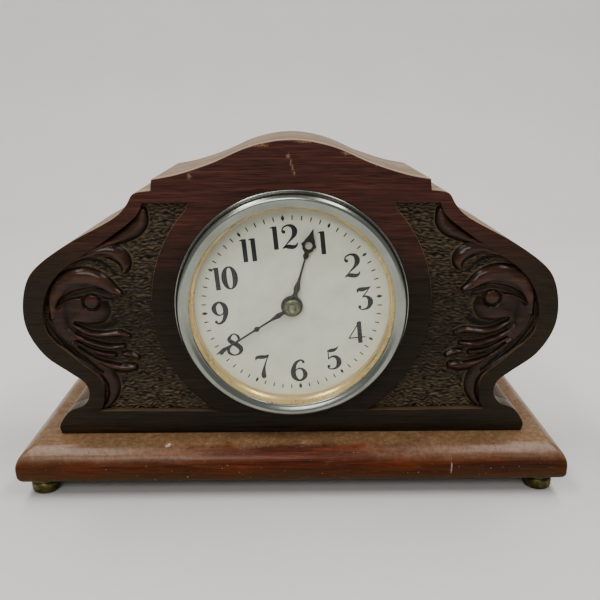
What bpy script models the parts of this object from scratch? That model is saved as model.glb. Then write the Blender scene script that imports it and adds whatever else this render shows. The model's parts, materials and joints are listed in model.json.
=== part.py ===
"""A carved mahogany mantel clock with a small back-wound drum movement.

Sizes are in millimetres unless a name says otherwise, and the scene is in metres.
The origin is on the floor under the middle of the base. The front faces -Y and +Z is up.
Outlines seen from the front are (x, z) points. Depths are world y, growing towards the back.
"""

import math

import bmesh
import bpy
from mathutils import Matrix, Vector

MM = 0.001
GAP = 0.3

# Base and feet
BASE_WIDTH = 259.0
BASE_DEPTH = 104.0
BASE_THICKNESS = 16.6
BASE_TOP_ROUNDING = 10.0
BASE_BOTTOM_ROUNDING = 3.0
FOOT_HEIGHT = 8.4
FOOT_RADIUS = 6.7
FOOT_INSET_X = 10.2
FOOT_INSET_Y = 11.0

# Case
CASE_FRONT_Y = -34.0
CASE_BACK_Y = 44.0
FRONT_BOARD = 10.0
BACK_BOARD = 7.0
CASE_FLOOR = 9.5
PANEL_DEPTH = 3.4
FIELD_DISC_RADIUS = 65.5
FIELD_DISC_CENTRE = (0.0, 65.0)
BACK_OPENING_RADIUS = 36.5

# Dial opening and bezel
DIAL_HEIGHT = 64.2
BOARD_HOLE_RADIUS = 48.8
GLASS_RADIUS = 47.2
DIAL_RADIUS = 46.9
DIAL_FRONT_Y = -31.2
DIAL_THICKNESS = 0.8
DIAL_HOLE_RADIUS = 3.2

# Drum can
DRUM_RADIUS = 45.0
DRUM_WALL = 0.8
DRUM_FRONT_Y = -30.1
DRUM_BACK_Y = 6.0

# Movement plates
PLATE_RADIUS = 40.0
PLATE_THICKNESS = 1.4
FRONT_PLATE_Y = -25.0
BACK_PLATE_Y = -3.0
PILLAR_CIRCLE = 36.0
PILLAR_ANGLES = (330.0, 210.0, 105.0)

# Wheels: teeth and module
GREAT_TEETH, CENTRE_PINION_TEETH, GREAT_MODULE = 64, 8, 0.55
CENTRE_TEETH, THIRD_PINION_TEETH, CENTRE_MODULE = 60, 8, 0.50
THIRD_TEETH, FOURTH_PINION_TEETH, THIRD_MODULE = 64, 8, 0.45
FOURTH_TEETH, ESCAPE_PINION_TEETH, FOURTH_MODULE = 60, 6, 0.40
CANNON_TEETH, MINUTE_TEETH, CANNON_MODULE = 12, 36, 0.40
MINUTE_PINION_TEETH, HOUR_TEETH = 10, 40
ESCAPE_TEETH = 15
ESCAPE_RADIUS = 7.0
RATCHET_TEETH = 24
RATCHET_RADIUS = 7.5
CLICK_PIVOT = (-9.6, 9.6)
BALANCE_RADIUS = 9.0
FORK_LENGTH = 10.0
COCK_ANGLE = 265.0
COCK_ARM = 13.0
REGULATOR_ANGLE = 140.0
REGULATOR_LENGTH = 11.0

# Front faces of the wheels inside the movement
GREAT_WHEEL_Y = -22.4
RATCHET_Y = -20.7
RATCHET_BACK_Y = -19.9
CENTRE_WHEEL_Y = -19.4
THIRD_WHEEL_Y = -15.4
FOURTH_WHEEL_Y = -11.8
ESCAPE_WHEEL_Y = -8.0
FRONT_PIVOT = FRONT_PLATE_Y + 0.3
BACK_PIVOT = BACK_PLATE_Y + PLATE_THICKNESS - 0.3

# Fastenings and the back door
CASE_SCREW_X = 70.0
CASE_SCREW_Y = 5.0
CASE_SCREW_HEAD_Z = FOOT_HEIGHT + 0.6
BACK_SCREWS = [(-119.0, 62.0), (119.0, 62.0), (-56.0, 116.5), (56.0, 116.5)]
STRAP_SCREW_X = 56.0
STRAP_REACH = 60.5
STRAP_LENGTH = 16.0
STRAP_THICKNESS = 1.2
DOOR_RADIUS = 38.0
HINGE = (-42.0, 46.5)
HINGE_BARREL = 2.1

# The time shown, 12:40, as angles clockwise from the top
HOUR_HAND_ANGLE = 15.1
MINUTE_HAND_ANGLE = 237.0

BASE_TOP = FOOT_HEIGHT + BASE_THICKNESS
DIAL_CENTRE = (0.0, BASE_TOP + DIAL_HEIGHT)


def polar(centre, radius, degrees):
    """The point at this radius and angle, counter-clockwise from +x as seen from the front."""
    angle = math.radians(degrees)
    return (centre[0] + radius * math.cos(angle), centre[1] + radius * math.sin(angle))


def centre_distance(teeth_a, teeth_b, module):
    return (teeth_a + teeth_b) * module / 2


# Arbor positions, each at its meshing distance from the one before
GREAT = polar(DIAL_CENTRE, centre_distance(GREAT_TEETH, CENTRE_PINION_TEETH, GREAT_MODULE), 270)
THIRD = polar(DIAL_CENTRE, centre_distance(CENTRE_TEETH, THIRD_PINION_TEETH, CENTRE_MODULE), 160)
FOURTH = polar(THIRD, centre_distance(THIRD_TEETH, FOURTH_PINION_TEETH, THIRD_MODULE), 50)
ESCAPE = polar(FOURTH, centre_distance(FOURTH_TEETH, ESCAPE_PINION_TEETH, FOURTH_MODULE), -5)
PALLET = polar(ESCAPE, FORK_LENGTH, -25)
BALANCE = polar(PALLET, FORK_LENGTH, -25)
MOTION_DISTANCE = centre_distance(CANNON_TEETH, MINUTE_TEETH, CANNON_MODULE)
MOTION_MODULE = 2 * MOTION_DISTANCE / (MINUTE_PINION_TEETH + HOUR_TEETH)
MINUTE = polar(DIAL_CENTRE, MOTION_DISTANCE, 300)

FACE_FRONT = Matrix.Rotation(math.radians(90), 4, "X")


# ---------------------------------------------------------------- scene and materials

def clear_scene():
    for obj in list(bpy.data.objects):
        bpy.data.objects.remove(obj, do_unlink=True)


def new_collection(name):
    collection = bpy.data.collections.new(name)
    bpy.context.scene.collection.children.link(collection)
    return collection


clear_scene()
CLOCK = new_collection("mantel_clock")
CUTTERS = new_collection("cutters")


def finish(name, colour, metallic, roughness):
    """A Principled material."""
    material = bpy.data.materials.new(name)
    material.use_nodes = True
    shader = material.node_tree.nodes["Principled BSDF"]
    shader.inputs["Base Color"].default_value = (*colour, 1.0)
    shader.inputs["Metallic"].default_value = metallic
    shader.inputs["Roughness"].default_value = roughness
    return material


FINISHES = {
    "mahogany": ((0.16, 0.05, 0.03), 0.0, 0.35),
    "brass": ((0.72, 0.54, 0.26), 1.0, 0.35),
    "nickel": ((0.75, 0.73, 0.70), 1.0, 0.25),
    "gilt": ((0.85, 0.68, 0.38), 1.0, 0.30),
    "glass": ((0.95, 0.97, 0.96), 0.0, 0.05),
    "cream": ((0.86, 0.84, 0.78), 0.0, 0.55),
    "steel": ((0.55, 0.56, 0.58), 1.0, 0.30),
    "blued_steel": ((0.03, 0.03, 0.05), 0.8, 0.35),
}


def dress(obj, kind):
    """Gives an object its own material."""
    obj.data.materials.clear()
    obj.data.materials.append(finish(f"{obj.name}_{kind}", *FINISHES[kind]))
    return obj


# ---------------------------------------------------------------- shape tools

def as_cutter(obj):
    obj.hide_render = True
    obj.display_type = "WIRE"
    CUTTERS.objects.link(obj)
    return obj


def as_part(obj, kind):
    CLOCK.objects.link(obj)
    return dress(obj, kind)


def boolean(target, tool, operation):
    """Cuts or joins with a tool that stays in the cutters' collection."""
    if tool.name not in CUTTERS.objects:
        as_cutter(tool)
    modifier = target.modifiers.new(f"{operation.lower()}_{tool.name}", "BOOLEAN")
    modifier.object = tool
    modifier.operation = operation
    modifier.solver = "EXACT"


def cut(target, *tools):
    for tool in tools:
        boolean(target, tool, "DIFFERENCE")


def join(target, *tools):
    for tool in tools:
        boolean(target, tool, "UNION")


def solid_of(curve_object):
    """The closed mesh of a curve object, under the same name and in the same place."""
    bpy.context.scene.collection.objects.link(curve_object)
    bpy.context.view_layer.update()
    evaluated = curve_object.evaluated_get(bpy.context.evaluated_depsgraph_get())
    mesh = bpy.data.meshes.new_from_object(evaluated)
    name = curve_object.name
    place = curve_object.matrix_world.copy()
    bpy.data.objects.remove(curve_object, do_unlink=True)
    work = bmesh.new()
    work.from_mesh(mesh)
    bmesh.ops.remove_doubles(work, verts=work.verts, dist=1e-6)
    bmesh.ops.recalc_face_normals(work, faces=work.faces)
    work.to_mesh(mesh)
    work.free()
    obj = bpy.data.objects.new(name, mesh)
    obj.matrix_world = place
    return obj


def flat(name, outlines, y_front, y_back, centre=(0.0, 0.0)):
    """A plate that faces the front: closed outlines about centre, from y_front to y_back.

    The first outline is the edge and the others are holes in it."""
    curve = bpy.data.curves.new(name, "CURVE")
    curve.dimensions = "2D"
    curve.fill_mode = "BOTH"
    curve.extrude = (y_back - y_front) / 2 * MM
    for outline in outlines:
        spline = curve.splines.new("POLY")
        spline.points.add(len(outline) - 1)
        for point, (x, z) in zip(spline.points, outline):
            point.co = (x * MM, z * MM, 0.0, 1.0)
        spline.use_cyclic_u = True
    obj = bpy.data.objects.new(name, curve)
    place = Vector((centre[0], (y_front + y_back) / 2, centre[1])) * MM
    obj.matrix_world = Matrix.Translation(place) @ FACE_FRONT
    return solid_of(obj)


def turned(name, profile, steps, place, closed=False, upright=False):
    """A turned piece. The profile is (radius, height) points, heights along +Z if upright, else along +y.

    An open profile starts and ends on the axis; a closed one makes a ring."""
    points = [(r, h if upright else -h) for r, h in profile]
    area = sum(
        a[0] * b[1] - b[0] * a[1] for a, b in zip(points, points[1:] + points[:1])
    )
    if area > 0:
        points.reverse()
    mesh = bpy.data.meshes.new(name)
    edges = [(i, i + 1) for i in range(len(points) - 1)]
    if closed:
        edges.append((len(points) - 1, 0))
    mesh.from_pydata([(r * MM, 0.0, h * MM) for r, h in points], edges, [])
    obj = bpy.data.objects.new(name, mesh)
    spot = Matrix.Translation(Vector(place) * MM)
    obj.matrix_world = spot if upright else spot @ FACE_FRONT
    screw = obj.modifiers.new("turn", "SCREW")
    screw.axis = "Z"
    screw.angle = math.tau
    screw.steps = steps
    screw.render_steps = steps
    screw.use_merge_vertices = True
    screw.merge_threshold = 1e-5
    screw.use_normal_calculate = False
    return obj


def on_axis(point, y=0.0):
    """World millimetres of an axis that runs front to back through this front-view point."""
    return (point[0], y, point[1])


def rod(name, radius, y_front, y_back, point, sides=12):
    """A plain round bar along y."""
    profile = [(0.0, y_front), (radius, y_front), (radius, y_back), (0.0, y_back)]
    return turned(name, profile, sides, on_axis(point))


def block(name, low, high):
    """A box between two corners."""
    size = Vector(high) - Vector(low)
    middle = (Vector(high) + Vector(low)) / 2
    mesh = bpy.data.meshes.new(name)
    work = bmesh.new()
    bmesh.ops.create_cube(work, size=1.0)
    bmesh.ops.scale(work, vec=size * MM, verts=work.verts)
    work.to_mesh(mesh)
    work.free()
    obj = bpy.data.objects.new(name, mesh)
    obj.location = middle * MM
    return obj


# ---------------------------------------------------------------- outline tools

def circle(radius, sides=48, centre=(0.0, 0.0)):
    return [polar(centre, radius, 360 * i / sides) for i in range(sides)]


def smooth(knots, per_span):
    """Points on a curve through the knots. A knot is (x, z), or (x, z, 1) where the outline has a corner."""
    points = []
    last = len(knots) - 1
    for i in range(last):
        start, end = knots[i], knots[i + 1]
        if len(start) == 3 and len(end) == 3:
            points.append(tuple(start[:2]))
            continue
        before = knots[i - 1] if i > 0 and len(start) == 2 else start
        after = knots[i + 2] if i + 1 < last and len(end) == 2 else end
        for k in range(per_span):
            t = k / per_span
            points.append(
                tuple(
                    0.5 * (2 * start[a] + (end[a] - before[a]) * t
                           + (2 * before[a] - 5 * start[a] + 4 * end[a] - after[a]) * t ** 2
                           + (3 * start[a] - before[a] - 3 * end[a] + after[a]) * t ** 3)
                    for a in (0, 1)
                )
            )
    points.append(tuple(knots[-1][:2]))
    return points


def raised(points, lift):
    return [(x, z + lift) for x, z in points]


def toothed(teeth, module, addendum, dedendum, root_share, tip_share, phase=0.0):
    """A gear outline with four points a tooth. The shares are parts of the tooth pitch."""
    pitch_radius = teeth * module / 2
    tip = pitch_radius + addendum * module
    root = pitch_radius - dedendum * module
    step = 360 / teeth
    points = []
    for i in range(teeth):
        middle = phase + i * step
        points.append(polar((0, 0), root, middle - root_share * step / 2))
        points.append(polar((0, 0), tip, middle - tip_share * step / 2))
        points.append(polar((0, 0), tip, middle + tip_share * step / 2))
        points.append(polar((0, 0), root, middle + root_share * step / 2))
    return points


def wheel_outline(teeth, module, phase=0.0):
    return toothed(teeth, module, 0.75, 1.15, 0.52, 0.16, phase)


def pinion_outline(teeth, module, phase=0.0):
    return toothed(teeth, module, 0.55, 1.25, 0.42, 0.16, phase)


def crossings(inner, outer, arms, arm_width, arc_points=5):
    """The openings between a wheel's arms."""
    openings = []
    for i in range(arms):
        start = 360 * i / arms
        stop = 360 * (i + 1) / arms
        trim_outer = math.degrees(arm_width / 2 / outer)
        trim_inner = math.degrees(arm_width / 2 / inner)
        opening = []
        for k in range(arc_points):
            share = k / (arc_points - 1)
            span = stop - start - 2 * trim_outer
            opening.append(polar((0, 0), outer, start + trim_outer + share * span))
        for k in range(3):
            share = 1 - k / 2
            span = stop - start - 2 * trim_inner
            opening.append(polar((0, 0), inner, start + trim_inner + share * span))
        openings.append(opening)
    return openings


def mesh_phase(driver, driver_phase, driver_teeth, follower, follower_teeth):
    """The follower's phase that puts its gap opposite the driver's tooth on the line of centres."""
    line = math.degrees(math.atan2(follower[1] - driver[1], follower[0] - driver[0]))
    offset = ((line - driver_phase) / (360 / driver_teeth)) % 1.0
    step = 360 / follower_teeth
    return line + 180 + offset * step + step / 2


# ---------------------------------------------------------------- case outlines, z from the base's top

CASE_HALF = [
    (112.0, GAP, 1), (112.3, 5.0), (107.5, 11.7), (100.0, 15.2),
    (97.0, 20.5), (98.5, 26.5), (105.0, 31.8), (115.5, 40.0), (122.2, 51.0),
    (123.9, 62.0), (121.3, 75.0), (115.0, 83.8), (100.0, 94.2), (80.0, 104.9),
    (73.5, 110.7), (69.5, 116.3), (62.0, 117.6, 1), (61.4, 122.4, 1), (50.0, 124.6),
    (35.0, 129.4), (20.0, 135.8), (8.0, 138.7), (0.0, 139.3, 1),
]
CAVITY_HALF = [
    (88.0, CASE_FLOOR, 1), (88.0, 26.0), (94.0, 35.5), (107.0, 45.0),
    (114.5, 61.0), (107.5, 79.0), (92.0, 89.5), (73.0, 99.5), (60.0, 109.0), (50.0, 114.5),
    (26.0, 122.5), (0.0, 128.5, 1),
]
FIELD = [
    (36.0, 11.5, 1), (92.4, 12.0, 1), (90.0, 17.4), (90.8, 28.5), (101.8, 39.0), (114.0, 52.0),
    (113.4, 68.0), (104.7, 81.0), (85.3, 94.0), (70.0, 105.3), (66.0, 112.0, 1), (46.0, 112.0, 1),
]


def closed_half(half, per_span):
    """A symmetric outline from its right half, which ends on the middle line at the top."""
    right = smooth(half, per_span)
    return right + [(-x, z) for x, z in reversed(right[:-1])]


CASE_PLACE = (0.0, BASE_TOP)
CASE_OUTLINE = closed_half(CASE_HALF, 2)
CAVITY_OUTLINE = closed_half(CAVITY_HALF, 2)


def field_outline(side):
    """A sunk panel: the shaped outer edge, closed by an arc around the dial."""
    edge = smooth(FIELD, 2)
    start = math.degrees(math.atan2(edge[-1][1] - FIELD_DISC_CENTRE[1], edge[-1][0]))
    stop = math.degrees(math.atan2(edge[0][1] - FIELD_DISC_CENTRE[1], edge[0][0]))
    turns = [start + (stop - start) * k / 10 for k in range(1, 10)]
    arc = [polar(FIELD_DISC_CENTRE, FIELD_DISC_RADIUS, angle) for angle in turns]
    return [(side * x, z) for x, z in edge + arc]


# ---------------------------------------------------------------- base, feet and case

def make_base():
    plinth = block(
        "base_plinth",
        (-BASE_WIDTH / 2, -BASE_DEPTH / 2, FOOT_HEIGHT),
        (BASE_WIDTH / 2, BASE_DEPTH / 2, BASE_TOP),
    )
    work = bmesh.new()
    work.from_mesh(plinth.data)
    for top, rounding, segments in ((True, BASE_TOP_ROUNDING, 4), (False, BASE_BOTTOM_ROUNDING, 2)):
        edges = [e for e in work.edges if all((v.co.z > 0) == top for v in e.verts) and e.is_manifold]
        level = max(v.co.z for v in work.verts) if top else min(v.co.z for v in work.verts)
        edges = [e for e in edges if all(abs(v.co.z - level) < 1e-6 for v in e.verts)]
        bmesh.ops.bevel(
            work, geom=edges, offset=rounding * MM, segments=segments, profile=0.5, affect="EDGES",
        )
    work.to_mesh(plinth.data)
    work.free()
    as_part(plinth, "mahogany")
    head = CASE_SCREW_HEAD_Z
    for side, x in (("left", -CASE_SCREW_X), ("right", CASE_SCREW_X)):
        shank = turned(
            f"base_hole_{side}",
            [(0, 5), (4.4, 5), (4.4, head + 3.0), (2.0, head + 3.0), (2.0, 30), (0, 30)],
            16, (x, CASE_SCREW_Y, 0), upright=True,
        )
        cut(plinth, shank)


def make_feet():
    profile = [
        (0, 0), (5.6, 0), (6.5, 1.0), (FOOT_RADIUS, 3.2), (6.5, 6.0),
        (5.6, FOOT_HEIGHT - GAP), (0, FOOT_HEIGHT - GAP),
    ]
    x = BASE_WIDTH / 2 - FOOT_INSET_X
    y = BASE_DEPTH / 2 - FOOT_INSET_Y
    for depth_name, depth in (("front", -y), ("rear", y)):
        for side_name, side in (("left", -x), ("right", x)):
            foot = turned(f"foot_{depth_name}_{side_name}", profile, 20, (side, depth, 0), upright=True)
            as_part(foot, "brass")


def make_case_body():
    body = flat(
        "case_body", [CASE_OUTLINE, CAVITY_OUTLINE],
        CASE_FRONT_Y + FRONT_BOARD + GAP, CASE_BACK_Y - BACK_BOARD - GAP, CASE_PLACE,
    )
    as_part(body, "mahogany")
    for side, x in (("left", -CASE_SCREW_X), ("right", CASE_SCREW_X)):
        pilot = turned(
            f"case_pilot_{side}",
            [(0, 20), (1.8, 20), (1.8, 33.4), (0, 33.4)], 12, (x, CASE_SCREW_Y, 0), upright=True,
        )
        cut(body, pilot)
    for i, (x, z) in enumerate(BACK_SCREWS, start=1):
        start = CASE_BACK_Y - BACK_BOARD
        cut(body, rod(f"body_pilot_{i}", 1.4, start - 14, start + 1, (x, z + BASE_TOP), 10))


def make_case_screws():
    head = CASE_SCREW_HEAD_Z
    profile = [(0, head), (3.9, head), (3.9, head + 1.6), (1.5, head + 2.7), (1.5, 32.8), (0, 32.8)]
    for side, x in (("left", -CASE_SCREW_X), ("right", CASE_SCREW_X)):
        as_part(turned(f"case_screw_{side}", profile, 14, (x, CASE_SCREW_Y, 0), upright=True), "steel")


def make_front_board():
    board = flat(
        "front_board", [CASE_OUTLINE, raised(circle(BOARD_HOLE_RADIUS, 48), DIAL_HEIGHT)],
        CASE_FRONT_Y, CASE_FRONT_Y + FRONT_BOARD, CASE_PLACE,
    )
    as_part(board, "mahogany")
    for name, side in (("left", -1), ("right", 1)):
        field = flat(
            f"field_{name}", [field_outline(side)],
            CASE_FRONT_Y - 2, CASE_FRONT_Y + PANEL_DEPTH, CASE_PLACE,
        )
        hole = rod(
            f"strap_pilot_{name}", 1.3, CASE_FRONT_Y + FRONT_BOARD - 6, CASE_FRONT_Y + FRONT_BOARD + 1,
            (side * STRAP_SCREW_X, DIAL_CENTRE[1]), 10,
        )
        cut(board, field, hole)




def make_back_board():
    board = flat(
        "back_board", [CASE_OUTLINE, raised(circle(BACK_OPENING_RADIUS, 40), DIAL_HEIGHT)],
        CASE_BACK_Y - BACK_BOARD, CASE_BACK_Y, CASE_PLACE,
    )
    as_part(board, "mahogany")
    for i, (x, z) in enumerate(BACK_SCREWS, start=1):
        point = (x, z + BASE_TOP)
        cut(board, rod(f"board_hole_{i}", 1.7, CASE_BACK_Y - BACK_BOARD - 1, CASE_BACK_Y + 1, point, 10))
        screw = turned(
            f"back_board_screw_{i}",
            [(0, 30), (1.1, 30), (1.1, CASE_BACK_Y + GAP), (2.6, CASE_BACK_Y + GAP),
             (2.2, CASE_BACK_Y + 1.3), (0, CASE_BACK_Y + 1.7)],
            12, on_axis(point),
        )
        as_part(screw, "brass")


# ---------------------------------------------------------------- bezel, glass, dial and hands

def ahead(distance):
    """The depth of a point this far in front of the case's front plane."""
    return CASE_FRONT_Y - distance


def make_bezel():
    profile = [
        (54.0, ahead(0.3)), (54.0, ahead(0.9)), (53.5, ahead(1.3)), (52.2, ahead(1.3)), (51.9, ahead(0.8)),
        (51.8, ahead(3.6)), (51.4, ahead(5.6)), (50.6, ahead(6.9)), (49.7, ahead(7.4)),
        (48.7, ahead(7.1)), (47.9, ahead(6.2)), (47.6, ahead(5.0)), (47.6, ahead(-4.0)),
        (48.4, ahead(-4.0)), (48.4, ahead(0.3)),
    ]
    as_part(turned("bezel", profile, 40, on_axis(DIAL_CENTRE), closed=True), "nickel")


def make_sight_ring():
    profile = [
        (47.3, ahead(-2.5)), (47.3, ahead(4.7)), (46.9, ahead(4.9)),
        (45.1, ahead(-1.5)), (45.1, ahead(-2.5)),
    ]
    as_part(turned("sight_ring", profile, 40, on_axis(DIAL_CENTRE), closed=True), "gilt")


def make_glass():
    """A shallow dome, the same thickness all over."""
    crown, edge, thickness, rings = 8.8, 6.6, 1.3, 3
    outer = []
    inner = []
    for k in range(rings + 1):
        share = k / rings
        rise = (crown - edge) * (1 - share * share)
        outer.append((GLASS_RADIUS * share, ahead(edge + rise)))
        inner.append((GLASS_RADIUS * share, ahead(edge + rise - thickness)))
    as_part(turned("glass", outer + inner[::-1], 40, on_axis(DIAL_CENTRE)), "glass")


def make_dial():
    dial = flat(
        "dial", [circle(DIAL_RADIUS, 48), circle(DIAL_HOLE_RADIUS, 16)],
        DIAL_FRONT_Y, DIAL_FRONT_Y + DIAL_THICKNESS, DIAL_CENTRE,
    )
    as_part(dial, "cream")


def turned_outline(points, clockwise_degrees):
    angle = math.radians(-clockwise_degrees)
    return [
        (x * math.cos(angle) - z * math.sin(angle), x * math.sin(angle) + z * math.cos(angle))
        for x, z in points
    ]


def make_hour_hand():
    """A pierced diamond head on a spindle arm, with a round boss."""
    half = [
        (0.0, -5.1), (3.6, -3.6), (5.1, 0.0), (3.6, 3.6), (1.4, 5.2), (1.5, 8.0), (2.1, 12.0),
        (1.2, 17.0), (0.7, 23.0), (1.5, 24.2), (1.5, 25.2), (0.8, 26.2), (2.9, 29.5), (1.0, 32.3),
        (1.3, 33.5), (0.9, 35.5), (0.0, 37.0),
    ]
    outline = half + [(-x, z) for x, z in reversed(half[1:-1])]
    hole = circle(2.9, 16)
    eye = [(0.0, 27.9), (1.5, 29.5), (0.0, 31.1), (-1.5, 29.5)]
    shapes = [turned_outline(s, HOUR_HAND_ANGLE) for s in (outline, hole, eye)]
    as_part(flat("hour_hand", shapes, -33.4, -32.7, DIAL_CENTRE), "blued_steel")


def make_minute_hand():
    """A long spindle arm with a ball, and a round boss."""
    half = [
        (0.0, -3.7), (2.6, -2.6), (3.7, 0.0), (2.6, 2.6), (1.1, 3.8), (1.7, 7.0), (1.0, 12.0),
        (0.6, 18.0), (1.3, 19.0), (1.3, 20.0), (0.6, 21.0), (1.1, 30.0), (0.6, 38.0), (0.0, 42.0),
    ]
    outline = half + [(-x, z) for x, z in reversed(half[1:-1])]
    shapes = [turned_outline(s, MINUTE_HAND_ANGLE) for s in (outline, circle(1.8, 12))]
    as_part(flat("minute_hand", shapes, -35.2, -34.6, DIAL_CENTRE), "blued_steel")


# ---------------------------------------------------------------- drum, straps and plates

def make_drum():
    profile = [
        (46.9, DRUM_FRONT_Y), (46.9, DRUM_FRONT_Y + 0.8), (DRUM_RADIUS, DRUM_FRONT_Y + 0.8),
        (DRUM_RADIUS, DRUM_BACK_Y), (3.4, DRUM_BACK_Y), (3.4, DRUM_BACK_Y - DRUM_WALL),
        (DRUM_RADIUS - DRUM_WALL, DRUM_BACK_Y - DRUM_WALL), (DRUM_RADIUS - DRUM_WALL, DRUM_FRONT_Y),
    ]
    drum = turned("drum_can", profile, 40, on_axis(DIAL_CENTRE), closed=True)
    as_part(drum, "brass")
    key_hole = rod("drum_key_hole", 3.4, DRUM_BACK_Y - 2, DRUM_BACK_Y + 1, GREAT, 16)
    arc = [REGULATOR_ANGLE + a for a in (-26, -13, 0, 13, 26)]
    slot = [polar((0, 0), REGULATOR_LENGTH + 1.4, a) for a in arc]
    slot += [polar((0, 0), REGULATOR_LENGTH - 1.4, a) for a in reversed(arc)]
    opening = flat("regulator_slot", [slot], DRUM_BACK_Y - 2, DRUM_BACK_Y + 1, BALANCE)
    cut(drum, key_hole, opening)




def make_straps():
    """Angle brackets between the drum's side and the back of the front board, with their screws."""
    board_back = CASE_FRONT_Y + FRONT_BOARD
    drum_side = DRUM_RADIUS + GAP
    for name, side in (("left", -1), ("right", 1)):
        near, far = board_back + GAP, board_back + GAP + STRAP_THICKNESS
        inner = drum_side + STRAP_THICKNESS
        corner = [
            (drum_side, near), (STRAP_REACH, near), (STRAP_REACH, far), (inner, far),
            (inner, board_back + STRAP_LENGTH), (drum_side, board_back + STRAP_LENGTH),
        ]
        curve = bpy.data.curves.new(f"strap_{name}", "CURVE")
        curve.dimensions = "2D"
        curve.fill_mode = "BOTH"
        curve.extrude = 5 * MM
        spline = curve.splines.new("POLY")
        spline.points.add(len(corner) - 1)
        for point, (x, y) in zip(spline.points, corner):
            point.co = (side * x * MM, y * MM, 0.0, 1.0)
        spline.use_cyclic_u = True
        shape = bpy.data.objects.new(f"strap_{name}", curve)
        shape.matrix_world = Matrix.Translation((0.0, 0.0, DIAL_CENTRE[1] * MM))
        strap = as_part(solid_of(shape), "steel")
        point = (side * STRAP_SCREW_X, DIAL_CENTRE[1])
        cut(strap, rod(f"strap_hole_{name}", 1.4, board_back - 1, board_back + 3, point, 10))
        screw = turned(
            f"strap_screw_{name}",
            [(0, board_back - 5.5), (1.0, board_back - 5.5), (1.0, board_back + 1.8),
             (2.5, board_back + 1.8), (2.1, board_back + 3.0), (0, board_back + 3.3)],
            12, on_axis(point),
        )
        as_part(screw, "brass")


PIVOTS = {
    "great": GREAT, "third": THIRD, "fourth": FOURTH, "escape": ESCAPE,
    "pallet": PALLET, "balance": BALANCE,
}


def local(point):
    """A front-view point measured from the dial's centre."""
    return (point[0] - DIAL_CENTRE[0], point[1] - DIAL_CENTRE[1])


def make_plates():
    front_holes = {"great": 1.5, "balance": 0.9}
    back_holes = {"great": 2.4, "balance": 3.0}
    for name, y, holes, middle in (
        ("front_plate", FRONT_PLATE_Y, front_holes, 1.2),
        ("back_plate", BACK_PLATE_Y, back_holes, 1.2),
    ):
        outlines = [circle(PLATE_RADIUS, 48), circle(middle, 12)]
        for key, point in PIVOTS.items():
            outlines.append(circle(holes.get(key, 0.9), 10, local(point)))
        if name == "front_plate":
            outlines.append(circle(1.1, 10, local(MINUTE)))
        as_part(flat(name, outlines, y, y + PLATE_THICKNESS, DIAL_CENTRE), "brass")
    front = FRONT_PLATE_Y + PLATE_THICKNESS + 0.1
    back = BACK_PLATE_Y - 0.1
    profile = [
        (0, front), (2.6, front), (2.6, front + 2), (1.7, front + 3.5),
        (1.7, back - 3.5), (2.6, back - 2), (2.6, back), (0, back),
    ]
    for i, angle in enumerate(PILLAR_ANGLES, start=1):
        pillar = turned(f"pillar_{i}", profile, 12, on_axis(polar(DIAL_CENTRE, PILLAR_CIRCLE, angle)))
        as_part(pillar, "brass")


# ---------------------------------------------------------------- springs

def spiral_outline(inner, outer, turns, strip, per_turn):
    """A flat strip wound into a spiral."""
    steps = int(turns * per_turn)
    inside = []
    outside = []
    for i in range(steps + 1):
        share = i / steps
        radius = inner + (outer - inner) * share
        angle = 360 * turns * share
        inside.append(polar((0, 0), radius - strip / 2, angle))
        outside.append(polar((0, 0), radius + strip / 2, angle))
    return outside + inside[::-1]


def make_springs():
    main = flat("mainspring", [spiral_outline(3.4, 13.4, 5, 0.7, 18)], -17.5, -5.5, GREAT)
    as_part(main, "steel")
    hair = flat("hairspring", [spiral_outline(2.0, 6.6, 4, 0.25, 18)], -18.4, -17.6, BALANCE)
    as_part(hair, "blued_steel")


# ---------------------------------------------------------------- going train



def arbor(name, point, teeth, module, phase, leaves_front, leaves_back):
    """A steel arbor with its pinion, which turns in the two plates."""
    shoulder_front = FRONT_PLATE_Y + PLATE_THICKNESS + 0.3
    shoulder_back = BACK_PLATE_Y - 0.3
    profile = [
        (0, FRONT_PIVOT), (0.6, FRONT_PIVOT), (0.6, shoulder_front), (0.8, shoulder_front),
        (0.8, shoulder_back), (0.6, shoulder_back), (0.6, BACK_PIVOT), (0, BACK_PIVOT),
    ]
    if teeth == 0:
        return as_part(turned(name, profile, 10, on_axis(point)), "steel")
    leaves = flat(name, [pinion_outline(teeth, module, phase)], leaves_front, leaves_back, point)
    shaft = turned(f"{name}_shaft", profile, 10, on_axis(point))
    as_part(leaves, "steel")
    join(leaves, shaft)
    return leaves


def wheel(name, point, teeth, module, phase, front, thickness, bore, arms=4, kind="brass"):
    """A crossed-out wheel."""
    root = teeth * module / 2 - 1.15 * module
    outlines = [wheel_outline(teeth, module, phase), circle(bore, 12)]
    if arms:
        outlines += crossings(bore + 2.2, root - 1.6, arms, 1.8)
    return as_part(flat(name, outlines, front, front + thickness, point), kind)


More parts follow.
